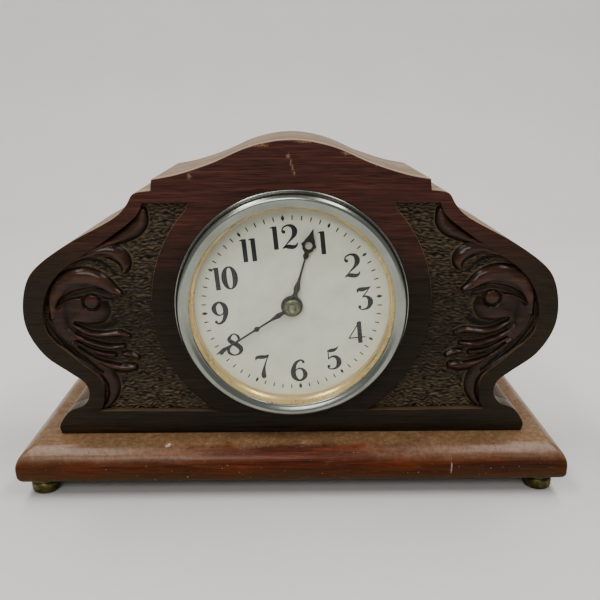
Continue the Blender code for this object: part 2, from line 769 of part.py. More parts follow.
def make_train():
    pinion_phase = 0.0
    great_phase = mesh_phase(DIAL_CENTRE, pinion_phase, CENTRE_PINION_TEETH, GREAT, GREAT_TEETH)
    wheel("great_wheel", GREAT, GREAT_TEETH, GREAT_MODULE, great_phase, GREAT_WHEEL_Y, 1.2, 2.3, arms=0)
    centre = flat(
        "centre_pinion",
        [pinion_outline(CENTRE_PINION_TEETH, GREAT_MODULE, pinion_phase), circle(1.05, 12)],
        -23.0, -19.7, DIAL_CENTRE,
    )
    as_part(centre, "steel")
    wheel("centre_wheel", DIAL_CENTRE, CENTRE_TEETH, CENTRE_MODULE, 0.0, CENTRE_WHEEL_Y, 1.0, 1.05)

    third_phase = mesh_phase(DIAL_CENTRE, 0.0, CENTRE_TEETH, THIRD, THIRD_PINION_TEETH)
    arbor("third_arbor", THIRD, THIRD_PINION_TEETH, CENTRE_MODULE, third_phase, -20.2, -17.6)
    wheel("third_wheel", THIRD, THIRD_TEETH, THIRD_MODULE, 0.0, THIRD_WHEEL_Y, 0.9, 1.1)

    fourth_phase = mesh_phase(THIRD, 0.0, THIRD_TEETH, FOURTH, FOURTH_PINION_TEETH)
    arbor("fourth_arbor", FOURTH, FOURTH_PINION_TEETH, THIRD_MODULE, fourth_phase, -16.2, -13.7)
    wheel("fourth_wheel", FOURTH, FOURTH_TEETH, FOURTH_MODULE, 0.0, FOURTH_WHEEL_Y, 0.8, 1.1)

    escape_phase = mesh_phase(FOURTH, 0.0, FOURTH_TEETH, ESCAPE, ESCAPE_PINION_TEETH)
    arbor("escape_arbor", ESCAPE, ESCAPE_PINION_TEETH, FOURTH_MODULE, escape_phase, -12.6, -10.2)
    teeth = []
    step = 360 / ESCAPE_TEETH
    for i in range(ESCAPE_TEETH):
        teeth.append(polar((0, 0), ESCAPE_RADIUS * 0.76, i * step - 0.34 * step))
        teeth.append(polar((0, 0), ESCAPE_RADIUS, i * step))
        teeth.append(polar((0, 0), ESCAPE_RADIUS, i * step + 0.07 * step))
        teeth.append(polar((0, 0), ESCAPE_RADIUS * 0.76, i * step + 0.12 * step))
    escape = flat(
        "escape_wheel", [teeth, circle(1.1, 12)] + crossings(2.4, ESCAPE_RADIUS * 0.76 - 1.2, 3, 1.4, 4),
        ESCAPE_WHEEL_Y, ESCAPE_WHEEL_Y + 0.7, ESCAPE,
    )
    as_part(escape, "brass")


def make_centre_arbor():
    profile = [(0, -36.0), (0.8, -36.0), (0.8, 13.0), (0, 13.0)]
    as_part(turned("centre_arbor", profile, 12, on_axis(DIAL_CENTRE)), "steel")
    knob = turned(
        "setting_knob",
        [(1.0, 8.2), (2.2, 8.2), (2.2, 9.6), (5.0, 10.2), (5.0, 13.0), (4.4, 13.6), (1.0, 13.6)],
        20, on_axis(DIAL_CENTRE), closed=True,
    )
    as_part(knob, "brass")


def make_winding():
    """The winding arbor, its ratchet wheel and click, and the winding key."""
    profile = [
        (0, FRONT_PIVOT), (1.2, FRONT_PIVOT), (1.2, FRONT_PLATE_Y + PLATE_THICKNESS + 0.3),
        (2.0, FRONT_PLATE_Y + PLATE_THICKNESS + 0.3), (2.0, 13.4), (0, 13.4),
    ]
    as_part(turned("winding_arbor", profile, 12, on_axis(GREAT)), "steel")

    teeth = []
    step = 360 / RATCHET_TEETH
    for i in range(RATCHET_TEETH):
        teeth.append(polar((0, 0), RATCHET_RADIUS, i * step))
        teeth.append(polar((0, 0), RATCHET_RADIUS - 1.1, i * step + 0.12 * step))
    ratchet = flat("ratchet_wheel", [teeth, circle(2.3, 12)], RATCHET_Y, RATCHET_BACK_Y, GREAT)
    as_part(ratchet, "steel")

    # The nose drops behind a tooth's radial face; the tail runs out to the click's own pivot.
    click = [
        (-1.3, -1.0), (0.6, -1.5), (7.66, -2.0), (8.3, -2.4), (9.28, -2.8),
        (9.28, -1.2), (7.6, -0.5), (1.2, 1.3), (-0.5, 1.5), (-1.5, 0.4),
    ]
    pivot = (GREAT[0] + CLICK_PIVOT[0], GREAT[1] + CLICK_PIVOT[1])
    as_part(flat("click", [click, circle(0.5, 8)], RATCHET_Y, RATCHET_BACK_Y, pivot), "steel")

    key = flat(
        "winding_key",
        [[(-2.8, -1.6), (-9.0, -4.6), (-12.0, -3.0), (-12.0, 3.0), (-9.0, 4.6), (-2.8, 1.6),
          (2.8, 1.6), (9.0, 4.6), (12.0, 3.0), (12.0, -3.0), (9.0, -4.6), (2.8, -1.6)]],
        14.0, 16.0, GREAT,
    )
    hub = turned(
        "key_hub", [(0, 13.8), (2.3, 13.8), (2.3, 8.0), (3.6, 8.0), (3.6, 16.4), (2.8, 18.8), (0, 18.8)],
        16, on_axis(GREAT),
    )
    as_part(key, "brass")
    join(key, hub)


def make_escapement():
    """The pallet fork, the balance with its staff, and the cock and regulator over them."""
    towards_escape = math.degrees(math.atan2(ESCAPE[1] - PALLET[1], ESCAPE[0] - PALLET[0]))

    def along(x, z):
        """A point measured from the pallet staff, x towards the balance."""
        angle = math.radians(towards_escape + 180)
        return (x * math.cos(angle) - z * math.sin(angle), x * math.sin(angle) + z * math.cos(angle))

    half = [
        (-1.3, 0.0), (-2.0, 2.2), (-3.1, 3.2), (-3.5, 3.9), (-2.7, 4.7), (-1.2, 4.0), (0.2, 1.7),
        (1.4, 0.8), (4.0, 0.55), (6.0, 0.7), (6.4, 1.6), (8.0, 1.6), (8.0, 1.05), (7.0, 1.05),
    ]
    outline = [along(x, z) for x, z in half] + [along(x, -z) for x, z in reversed(half[1:])]
    fork = flat("pallet_fork", [outline], -8.1, -7.2, PALLET)
    staff = turned(
        "pallet_staff",
        [(0, FRONT_PIVOT), (0.55, FRONT_PIVOT), (0.55, BACK_PIVOT), (0, BACK_PIVOT)], 10, on_axis(PALLET),
    )
    as_part(fork, "steel")
    join(fork, staff)

    rim = flat(
        "balance_wheel",
        [circle(BALANCE_RADIUS, 32), circle(0.9, 10)] + crossings(2.6, BALANCE_RADIUS - 1.2, 2, 1.6, 9),
        -14.4, -13.2, BALANCE,
    )
    as_part(rim, "brass")
    staff = turned(
        "balance_staff",
        [(0, FRONT_PIVOT), (0.6, FRONT_PIVOT), (0.6, -9.6), (2.4, -9.6),
         (2.4, -8.9), (0.6, -8.9), (0.6, 0.6), (0, 0.6)],
        12, on_axis(BALANCE),
    )
    as_part(staff, "steel")
    pin_place = polar(BALANCE, 1.9, towards_escape)
    join(staff, rod("impulse_pin", 0.3, -9.2, -7.4, pin_place, 8))

    back = BACK_PLATE_Y + PLATE_THICKNESS
    angle = math.radians(COCK_ANGLE)
    across = (-math.sin(angle), math.cos(angle))
    out = (math.cos(angle), math.sin(angle))
    shape = [
        (out[0] * a + across[0] * b, out[1] * a + across[1] * b)
        for a, b in ((-2.6, -1.6), (-1.6, -2.6), (4.0, -2.6), (8.0, -3.6), (COCK_ARM + 3.6, -3.6),
                     (COCK_ARM + 3.6, 3.6), (8.0, 3.6), (4.0, 2.6), (-1.6, 2.6), (-2.6, 1.6))
    ]
    foot = (out[0] * COCK_ARM, out[1] * COCK_ARM)
    outlines = [shape, circle(0.9, 10), circle(1.3, 10, foot)]
    cock = flat("balance_cock", outlines, back + 0.2, back + 1.8, BALANCE)
    as_part(cock, "brass")

    lever = flat(
        "regulator_lever",
        [regulator_outline(), circle(1.1, 12)], back + 2.2, back + 2.9, BALANCE,
    )
    as_part(lever, "steel")
    finger_place = polar(BALANCE, REGULATOR_LENGTH, REGULATOR_ANGLE)
    finger = rod("regulator_finger", 0.7, back + 2.5, DRUM_BACK_Y + 1.6, finger_place, 10)
    join(lever, finger)


def regulator_outline():
    """A ring around the balance axis with an arm to the finger."""
    ring = [polar((0, 0), 2.8, REGULATOR_ANGLE + a) for a in range(20, 341, 32)]
    tip = [polar((0, 0), REGULATOR_LENGTH + 1.0, REGULATOR_ANGLE + a) for a in (-5, 5)]
    return ring + tip


# ---------------------------------------------------------------- motion work

def make_motion_work():
    cannon = flat(
        "cannon_pinion",
        [pinion_outline(CANNON_TEETH, CANNON_MODULE), circle(1.05, 12)], -27.4, -25.4, DIAL_CENTRE,
    )
    pipe = turned(
        "cannon_pipe", [(1.05, -27.0), (1.5, -27.0), (1.5, -35.7), (1.05, -35.7)],
        12, on_axis(DIAL_CENTRE), closed=True,
    )
    as_part(cannon, "steel")
    join(cannon, pipe)

    minute_phase = mesh_phase(DIAL_CENTRE, 0.0, CANNON_TEETH, MINUTE, MINUTE_TEETH)
    rim = wheel_outline(MINUTE_TEETH, CANNON_MODULE, minute_phase)
    minute = flat("minute_wheel", [rim], -26.6, -25.8, MINUTE)
    core = pinion_outline(MINUTE_PINION_TEETH, MOTION_MODULE)
    leaves = flat("minute_leaves", [core], -29.2, -26.2, MINUTE)
    stud = rod("minute_stud", 0.8, -27.0, FRONT_PLATE_Y + PLATE_THICKNESS - 0.1, MINUTE, 10)
    as_part(minute, "brass")
    join(minute, leaves, stud)

    hour_phase = mesh_phase(MINUTE, 0.0, MINUTE_PINION_TEETH, DIAL_CENTRE, HOUR_TEETH)
    rim = wheel_outline(HOUR_TEETH, MOTION_MODULE, hour_phase)
    hour = flat("hour_wheel", [rim, circle(1.8, 12)], -28.8, -28.0, DIAL_CENTRE)
    pipe = turned(
        "hour_pipe", [(1.8, -28.4), (2.5, -28.4), (2.5, -33.8), (1.8, -33.8)],
        14, on_axis(DIAL_CENTRE), closed=True,
    )
    as_part(hour, "brass")
    join(hour, pipe)


# ---------------------------------------------------------------- back door



def upright_tube(name, outer, bore, low, high):
    """A hinge barrel around the hinge's own axis."""
    profile = [(bore, low), (outer, low), (outer, high), (bore, high)]
    return turned(name, profile, 14, (HINGE[0], HINGE[1], DIAL_CENTRE[1]), closed=True, upright=True)


def make_back_door():
    hinge_x = HINGE[0]
    edge = [p for p in circle(DOOR_RADIUS, 40) if not (p[0] < 0 and abs(p[1]) < 4)]
    neck_x = -math.sqrt(DOOR_RADIUS ** 2 - 2.8 ** 2)
    tab = [(neck_x, 2.8), (hinge_x + 0.2, 2.8), (hinge_x + 0.2, -2.8), (neck_x, -2.8)]
    first = next(i for i, p in enumerate(edge) if p[0] < 0 and p[1] < 0)
    door = flat("back_door", [edge[:first] + tab + edge[first:]], 44.7, 46.0, DIAL_CENTRE)
    as_part(door, "brass")
    cut(door, rod_upright("door_clearance", 1.3))
    join(door, upright_tube("door_barrel", HINGE_BARREL, 1.3, -2.8, 2.8))
    knob = turned(
        "door_knob",
        [(0, 46.3), (1.4, 46.3), (1.4, 48.2), (2.8, 49.0), (2.8, 50.6), (2.0, 51.4), (0, 51.4)],
        16, on_axis((32.0, DIAL_CENTRE[1])),
    )
    as_part(knob, "brass")

    leaf = block(
        "door_hinge_leaf",
        (hinge_x - 13.0, CASE_BACK_Y + GAP, DIAL_CENTRE[1] - 9.0),
        (hinge_x - 0.4, CASE_BACK_Y + GAP + 1.0, DIAL_CENTRE[1] + 9.0),
    )
    as_part(leaf, "brass")
    notch = block(
        "leaf_notch",
        (hinge_x - 3.0, CASE_BACK_Y - 1.0, DIAL_CENTRE[1] - 3.2),
        (hinge_x + 4.0, CASE_BACK_Y + 4.0, DIAL_CENTRE[1] + 3.2),
    )
    cut(leaf, notch)
    join(leaf, upright_tube("leaf_barrel_low", HINGE_BARREL, 1.3, -9.0, -3.2))
    join(leaf, upright_tube("leaf_barrel_high", HINGE_BARREL, 1.3, 3.2, 9.0))
    pin = turned(
        "hinge_pin", [(0, -9.6), (1.0, -9.6), (1.0, 9.6), (0, 9.6)],
        12, (hinge_x, HINGE[1], DIAL_CENTRE[1]), upright=True,
    )
    as_part(pin, "steel")


def rod_upright(name, radius):
    """A clearance for the hinge's pin."""
    profile = [(0, -12.0), (radius, -12.0), (radius, 12.0), (0, 12.0)]
    return turned(name, profile, 14, (HINGE[0], HINGE[1], DIAL_CENTRE[1]), upright=True)


def main():
    make_base()
    make_feet()
    make_case_body()
    make_case_screws()
    make_front_board()
    make_back_board()
    make_bezel()
    make_sight_ring()
    make_glass()
    make_dial()
    make_hour_hand()
    make_minute_hand()
    make_drum()
    make_straps()
    make_plates()
    make_springs()
    make_train()
    make_centre_arbor()
    make_winding()
    make_escapement()
    make_motion_work()
    make_back_door()


main()
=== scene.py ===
"""The looks of a small carved mantel clock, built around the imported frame.

Lengths here are millimetres: x runs to the right, y to the back and z up. A flat outline is a list of
(x, z) points seen from the front. as_object() turns finished points into metres.
"""

import json
import math

import bmesh
import bpy
import numpy as np
from mathutils import Matrix, Vector, noise


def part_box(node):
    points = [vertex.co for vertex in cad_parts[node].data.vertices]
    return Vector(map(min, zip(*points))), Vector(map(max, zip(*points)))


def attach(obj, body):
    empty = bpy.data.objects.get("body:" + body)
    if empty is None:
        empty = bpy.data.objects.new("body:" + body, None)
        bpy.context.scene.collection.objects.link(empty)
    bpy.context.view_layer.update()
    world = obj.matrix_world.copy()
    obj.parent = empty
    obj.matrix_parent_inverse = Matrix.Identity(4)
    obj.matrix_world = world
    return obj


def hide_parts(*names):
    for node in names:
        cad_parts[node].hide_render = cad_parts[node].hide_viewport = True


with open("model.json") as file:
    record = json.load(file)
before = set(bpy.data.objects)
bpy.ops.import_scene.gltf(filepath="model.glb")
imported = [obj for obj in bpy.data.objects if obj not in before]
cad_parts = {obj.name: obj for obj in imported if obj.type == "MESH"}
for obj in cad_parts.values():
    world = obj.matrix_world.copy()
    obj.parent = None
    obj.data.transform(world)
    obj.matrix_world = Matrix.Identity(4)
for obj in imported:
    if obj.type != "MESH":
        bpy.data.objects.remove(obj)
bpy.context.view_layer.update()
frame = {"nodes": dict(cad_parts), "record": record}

MM = 0.001


# ---------------------------------------------------------------- places taken from the frame

def low(node):
    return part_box(node)[0] / MM


def high(node):
    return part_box(node)[1] / MM


def middle(node):
    return (low(node) + high(node)) / 2


def half_width(node):
    return (high(node).x - low(node).x) / 2


BASE_TOP = high("base_plinth").z
FRONT = low("front_board").y
DIAL = middle("dial")
CASE_LIFT = low("front_board").z - BASE_TOP

# Half outline of the case, from the bottom corner to the top, with z from the base's top. In this list and the
# next two a third value marks a corner.
CASE_HALF = [
    (112.0, CASE_LIFT, 1), (112.3, 5.0), (107.5, 11.7), (100.0, 15.2),
    (97.0, 20.5), (98.5, 26.5), (105.0, 31.8), (115.5, 40.0), (122.2, 51.0),
    (123.9, 62.0), (121.3, 75.0), (115.0, 83.8), (100.0, 94.2), (80.0, 104.9),
    (73.5, 110.7), (69.5, 116.3), (62.0, 117.6, 1), (61.4, 122.4, 1), (50.0, 124.6),
    (35.0, 129.4), (20.0, 135.8), (8.0, 138.7), (0.0, 139.3, 1),
]
# Half outline of the hollow inside the case
CAVITY_HALF = [
    (88.0, 9.5, 1), (88.0, 26.0), (94.0, 35.5), (107.0, 45.0), (114.5, 61.0), (107.5, 79.0),
    (92.0, 89.5), (73.0, 99.5), (60.0, 109.0), (50.0, 114.5), (26.0, 122.5), (0.0, 128.5, 1),
]
# Outer edge of the right sunk field; an arc about the field centre closes it
FIELD = [
    (36.0, 11.5, 1), (92.4, 12.0, 1), (90.0, 17.4), (90.8, 28.5), (101.8, 39.0), (114.0, 52.0),
    (113.4, 68.0), (104.7, 81.0), (85.3, 94.0), (70.0, 105.3), (66.0, 112.0, 1), (46.0, 112.0, 1),
]
FIELD_CENTRE = (0.0, 65.0)


def smooth(knots, per_span):
    """Points of a Catmull-Rom curve through the knots. Two corner knots in a row join by a straight line."""
    points = []
    last = len(knots) - 1
    for i in range(last):
        start, end = knots[i], knots[i + 1]
        if len(start) == 3 and len(end) == 3:
            points.append(tuple(start[:2]))
            continue
        before = knots[i - 1] if i > 0 and len(start) == 2 else start
        after = knots[i + 2] if i + 1 < last and len(end) == 2 else end
        for k in range(per_span):
            t = k / per_span
            points.append(tuple(bend(before[a], start[a], end[a], after[a], t) for a in (0, 1)))
    points.append(tuple(knots[-1][:2]))
    return points


def bend(before, start, end, after, t):
    """A Catmull-Rom span's value at t."""
    slope = (end - before) * t
    curve = (2 * before - 5 * start + 4 * end - after) * t ** 2
    cubic = (3 * start - before - 3 * end + after) * t ** 3
    return 0.5 * (2 * start + slope + curve + cubic)


def sweep_values(knots, per_span):
    """Catmull-Rom through knots of any length, such as (x, z, half width)."""
    knots = [np.array(k, float) for k in knots]
    padded = [2 * knots[0] - knots[1]] + knots + [2 * knots[-1] - knots[-2]]
    rows = []
    for i in range(len(knots) - 1):
        for k in range(per_span):
            rows.append(bend(*padded[i:i + 4], k / per_span))
    rows.append(knots[-1])
    return np.array(rows)


def mirrored(half):
    """A closed outline from its right half, which runs from the bottom to the top middle."""
    return half + [(-x, z) for x, z in reversed(half[:-1])]


def field_outline():
    edge = smooth(FIELD, 8)
    cx, cz = FIELD_CENTRE
    radius = math.dist(edge[0], FIELD_CENTRE)
    start = math.atan2(edge[-1][1] - cz, edge[-1][0] - cx)
    end = math.atan2(edge[0][1] - cz, edge[0][0] - cx)
    turns = [start + (end - start) * k / 40 for k in range(1, 40)]
    return edge + [(cx + radius * math.cos(a), cz + radius * math.sin(a)) for a in turns]


def runs_left(outline):
    """True where a closed outline runs anticlockwise, as seen from the front."""
    return sum(a[0] * b[1] - b[0] * a[1] for a, b in zip(outline, outline[1:] + outline[:1])) > 0


def circle(radius, steps, centre=(0.0, 0.0)):
    turns = [2 * math.pi * k / steps for k in range(steps)]
    return [(centre[0] + radius * math.cos(a), centre[1] + radius * math.sin(a)) for a in turns]


# ---------------------------------------------------------------- mesh building

def linked(name, data):
    """A new object for the mesh, light or camera, in the scene."""
    obj = bpy.data.objects.new(name, data)
    bpy.context.scene.collection.objects.link(obj)
    return obj


def as_object(name, points, faces, shade_smooth=True):
    mesh = bpy.data.meshes.new(name)
    mesh.from_pydata([tuple(MM * c for c in p) for p in points], [], faces)
    return solid(name, mesh, shade_smooth=shade_smooth)


def solid(name, mesh, merge=False, shade_smooth=True):
    """An object from a mesh, with its faces turned outwards."""
    work = bmesh.new()
    work.from_mesh(mesh)
    if merge:
        bmesh.ops.remove_doubles(work, verts=work.verts, dist=1e-6)
    bmesh.ops.recalc_face_normals(work, faces=work.faces)
    work.to_mesh(mesh)
    work.free()
    obj = linked(name, mesh)
    if shade_smooth:
        soften(obj)
    return obj


def soften(obj, angle=35.0):
    """Smooth shading, except across edges sharper than the angle in degrees."""
    mesh = obj.data
    mesh.polygons.foreach_set("use_smooth", [True] * len(mesh.polygons))
    mesh.set_sharp_from_angle(angle=math.radians(angle))


def place(obj, body, finish, *stands_for):
    """Gives the piece its finish and its body, and hides the CAD nodes that it stands for."""
    obj.data.materials.clear()
    obj.data.materials.append(MATERIALS[finish])
    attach(obj, body)
    if stands_for:
        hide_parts(*stands_for)


def rounded(profile, radius, steps=4):
    """The profile with each inner corner turned into a small curve."""
    points = [profile[0]]
    for before, corner, after in zip(profile, profile[1:], profile[2:]):
        corner = Vector(corner)
        entry, leave = [
            corner + way.normalized() * min(radius, way.length / 2.1)
            for way in (Vector(before) - corner, Vector(after) - corner)
        ]
        for k in range(steps + 1):
            t = k / steps
            points.append(tuple(entry * (1 - t) ** 2 + corner * 2 * t * (1 - t) + leave * t ** 2))
    points.append(profile[-1])
    return points


def lathe(name, profile, centre, steps, upright=False, closed=False):
    """A turned body. The profile holds (radius, place along the axis); the axis is y, or z when upright."""
    points = []
    rings = []
    for radius, along in profile:
        if radius == 0:
            rings.append([len(points)])
            points.append(turned_point(0, 0, along, centre, upright))
            continue
        rings.append(list(range(len(points), len(points) + steps)))
        for k in range(steps):
            points.append(turned_point(radius, 2 * math.pi * k / steps, along, centre, upright))
    pairs = list(zip(rings, rings[1:]))
    if closed:
        pairs.append((rings[-1], rings[0]))
    faces = []
    for first, second in pairs:
        for k in range(steps):
            corners = [
                first[k % len(first)], first[(k + 1) % len(first)],
                second[(k + 1) % len(second)], second[k % len(second)],
            ]
            faces.append(tuple(dict.fromkeys(corners)))
    return as_object(name, points, faces)


def turned_point(radius, angle, along, centre, upright):
    across, rise = radius * math.sin(angle), radius * math.cos(angle)
    if upright:
        return (centre[0] + across, centre[1] + rise, along)
    return (centre[0] + across, along, centre[2] + rise)


def plate(name, outlines, y_front, y_back, edge, centre=(0.0, 0.0), turn=0.0):
    """A flat plate with rounded edges. The first outline runs round the outside and the others are holes."""
    curve = bpy.data.curves.new(name, "CURVE")
    curve.dimensions = "2D"
    curve.fill_mode = "BOTH"
    curve.extrude = max((y_back - y_front) / 2 - edge, 0.0)
    curve.bevel_depth = edge
    curve.bevel_resolution = 2
    curve.offset = -edge
    for i, outline in enumerate(outlines):
        points = outline if runs_left(outline) == (i == 0) else outline[::-1]
        spline = curve.splines.new("POLY")
        spline.points.add(len(points) - 1)
        for point, (x, z) in zip(spline.points, points):
            point.co = (x, z, 0.0, 1.0)
        spline.use_cyclic_u = True
    holder = linked(name + ".curve", curve)
    mesh = bpy.data.meshes.new_from_object(holder.evaluated_get(bpy.context.evaluated_depsgraph_get()))
    bpy.data.objects.remove(holder)
    stand = Matrix.Rotation(math.pi / 2, 4, "X") @ Matrix.Rotation(-turn, 4, "Z")
    shift = Matrix.Translation((centre[0], (y_front + y_back) / 2, centre[1]))
    mesh.transform(Matrix.Scale(MM, 4) @ shift @ stand)
    return solid(name, mesh, merge=True)


def joined(name, objects):
    """One object from several."""
    work = bmesh.new()
    for obj in objects:
        work.from_mesh(obj.data)
        bpy.data.objects.remove(obj)
    mesh = bpy.data.meshes.new(name)
    work.to_mesh(mesh)
    work.free()
    obj = linked(name, mesh)
    soften(obj)
    return obj


# ---------------------------------------------------------------- materials

SPOT_RAGGED = 3.4
SPOT_EDGE = (2.1, 2.35)


class Graph:
    """A short way to build a node material on one Principled shader."""

    def __init__(self, name, **settings):
        self.material = bpy.data.materials.new(name)
        self.material.use_nodes = True
        self.nodes = self.material.node_tree.nodes
        self.shader = self.nodes["Principled BSDF"]
        for key, value in settings.items():
            self.shader.inputs[key.replace("_", " ")].default_value = value
        self.position = self.node("ShaderNodeTexCoord").outputs["Object"]

    def node(self, kind, inputs=(), **properties):
        """A new node; inputs holds (socket, value or output) pairs."""
        node = self.nodes.new(kind)
        for key, value in properties.items():
            setattr(node, key, value)
        for key, value in inputs:
            self.put(node.inputs[key], value)
        return node

    def put(self, socket, value):
        if isinstance(value, bpy.types.NodeSocket):
            self.material.node_tree.links.new(value, socket)
        else:
            socket.default_value = value

    def stretched(self, stretch, shift=(0.0, 0.0, 0.0)):
        """The place on the surface in millimetres, divided by the stretch along each axis."""
        inputs = [("Vector", self.position), ("Scale", [1 / (MM * s) for s in stretch]), ("Location", shift)]
        return self.node("ShaderNodeMapping", inputs).outputs["Vector"]

    def noise(self, stretch, detail=4.0, roughness=0.6, distortion=0.0, shift=(0.0, 0.0, 0.0)):
        return self.node("ShaderNodeTexNoise", [
            ("Vector", self.stretched(stretch, shift)), ("Scale", 1.0), ("Detail", detail),
            ("Roughness", roughness), ("Distortion", distortion),
        ]).outputs["Fac"]

    def ramp(self, value, *stops):
        """Colours or grey levels along a value: stops are (place, level or colour)."""
        node = self.node("ShaderNodeValToRGB", [("Fac", value)])
        elements = node.color_ramp.elements
        while len(elements) < len(stops):
            elements.new(0.5)
        for element, (at, colour) in zip(elements, stops):
            element.position = at
            element.color = (*colour, 1.0) if isinstance(colour, tuple) else (colour, colour, colour, 1.0)
        return node.outputs["Color"]

    def mix(self, factor, first, second):
        first, second = [(*c, 1.0) if isinstance(c, tuple) else c for c in (first, second)]
        inputs = [("Factor", factor), (6, first), (7, second)]
        return self.node("ShaderNodeMix", inputs, data_type="RGBA").outputs[2]

    def cover(self, base, field, start, end, share, colour):
        """The colour over the base where the field rises from start to end, up to the given share."""
        return self.mix(self.ramp(field, (start, 0.0), (end, share)), base, colour)

    def maths(self, operation, first, second):
        return self.node("ShaderNodeMath", [(0, first), (1, second)], operation=operation).outputs[0]

    def plus(self, first, second):
        return self.maths("ADD", first, second)

    def minus(self, first, second):
        return self.maths("SUBTRACT", first, second)

    def times(self, first, second):
        return self.maths("MULTIPLY", first, second)

    def magnitude(self, value):
        return self.maths("ABSOLUTE", value, 0.0)

    def wander(self, field, reach):
        """A noise field turned into a value that swings by half the reach to either side of 0."""
        return self.times(self.minus(field, 0.5), reach)

    def between(self, value, start, end):
        """0 up to start, 1 past end and a smooth rise between; the start may be the larger."""
        inputs = [("Value", value), ("From Min", start), ("From Max", end)]
        return self.node("ShaderNodeMapRange", inputs, interpolation_type="SMOOTHSTEP").outputs["Result"]

    def axis(self, name):
        """One coordinate of the surface, in millimetres."""
        return self.times(self.node("ShaderNodeSeparateXYZ", [(0, self.position)]).outputs[name], 1 / MM)

    def facing(self, name):
        """One part of the surface's own normal."""
        normal = self.node("ShaderNodeTexCoord").outputs["Normal"]
        return self.node("ShaderNodeSeparateXYZ", [(0, normal)]).outputs[name]

    def spot(self, centre, reach, ragged):
        """1 near a place and 0 away from it, with a ragged edge; reach holds a half size along each axis."""
        offset = self.stretched(reach, [-c / r for c, r in zip(centre, reach)])
        length = self.node("ShaderNodeVectorMath", [(0, offset)], operation="LENGTH").outputs["Value"]
        return self.minus(1.0, self.between(self.plus(length, self.times(ragged, SPOT_RAGGED)), *SPOT_EDGE))

    def bump(self, height, strength, distance, onto=None):
        inputs = [("Height", height), ("Strength", strength), ("Distance", distance * MM)]
        if onto is not None:
            inputs.append(("Normal", onto))
        return self.node("ShaderNodeBump", inputs).outputs["Normal"]

    def finish(self, colour, roughness=None, normal=None, coat=None):
        sockets = ("Base Color", "Roughness", "Normal", "Coat Weight")
        for name, value in zip(sockets, (colour, roughness, normal, coat)):
            if value is not None:
                self.put(self.shader.inputs[name], value)
        return self.material


# Heights, and distances from the middle, between which the finishes of the wood change
# Faces that look up are painted pale, most of all above the first heights and below the second: wear and dust
# with a painted sheen
SHEEN_AND_WEAR_ABOVE = (84.0, 92.0)
SHEEN_AND_WEAR_BELOW = (36.5, 34.5)
REDDER_ABOVE = (110.0, 150.0)
WARM_BELOW = (37.0, 27.0)
# The front is paler towards its sides
PALER_SIDES = (72.0, 118.0)
# The base is more yellow-brown towards its left end
BASE_YELLOWER_LEFT = (-20.0, -115.0)
# The base's top rounding is painted pale towards its ends: dust-coloured wear with a painted highlight
BASE_WORN_AND_HIGHLIT_ENDS = (40.0, 105.0)
BASE_WORN_DEPTH = (9.5, 15.5)
CARVING_MIDDLE = 78.0
CARVING_ENDS = (8.0, 44.0)

# Places where the front's edge and face are chipped: (x, z) and the half sizes of each
CHIPS = [
    ((-13.5, 162.1), (5.4, 4.0, 1.4)), ((6.0, 163.5), (6.5, 4.0, 1.1)), ((24.0, 158.6), (3.2, 4.0, 1.6)),
    ((-44.6, 148.8), (1.6, 3.0, 2.3)), ((37.5, 153.4), (1.6, 4.0, 0.9)), ((-1.4, 157.4), (1.5, 3.0, 1.8)),
    ((-0.3, 154.9), (0.9, 3.0, 2.6)), ((0.5, 152.4), (0.8, 3.0, 2.8)), ((1.3, 150.0), (0.7, 3.0, 2.4)),
    ((-104.8, 55.0), (1.6, 3.0, 0.6)),
]


def wood_grain(g, stretch):
    """Long fibres along x with fine dark pores between them."""
    fibres = g.noise((stretch, 9.0, 2.2), detail=6.0, roughness=0.65, distortion=0.6)
    pores = g.noise((stretch * 0.22, 3.0, 0.32), detail=3.0, roughness=0.5, shift=(3.0, 1.0, 7.0))
    return fibres, pores


def rubbed_edge(g, wood, pores, tan, grey, between_panels):
    """Faces that don't look forward are painted pale: tan in places and greyer in others. The pale is wear and
    dust, together with a painted sheen of light on what faces up.

    It is strongest above and below the panels; between_panels is its share at their height.
    """
    grain = g.noise((14.0, 40.0, 14.0), detail=6.0, roughness=0.65, distortion=0.4)
    patchy = g.noise((16.0, 12.0, 16.0), detail=5.0, roughness=0.6)
    pale = g.ramp(grain, (0.25, grey), (0.75, tan))
    pale = g.cover(pale, pores, 0.55, 0.72, 0.35, (0.06, 0.036, 0.024))
    upward = g.between(g.plus(g.facing("Z"), g.wander(patchy, 0.5)), -0.15, 0.35)
    shown = g.times(upward, g.between(g.magnitude(g.facing("Y")), 0.85, 0.55))
    outside = g.plus(g.between(g.axis("Z"), *SHEEN_AND_WEAR_ABOVE), g.between(g.axis("Z"), *SHEEN_AND_WEAR_BELOW))
    shown = g.times(shown, g.maths("MAXIMUM", outside, between_panels))
    return g.mix(shown, wood, pale), patchy


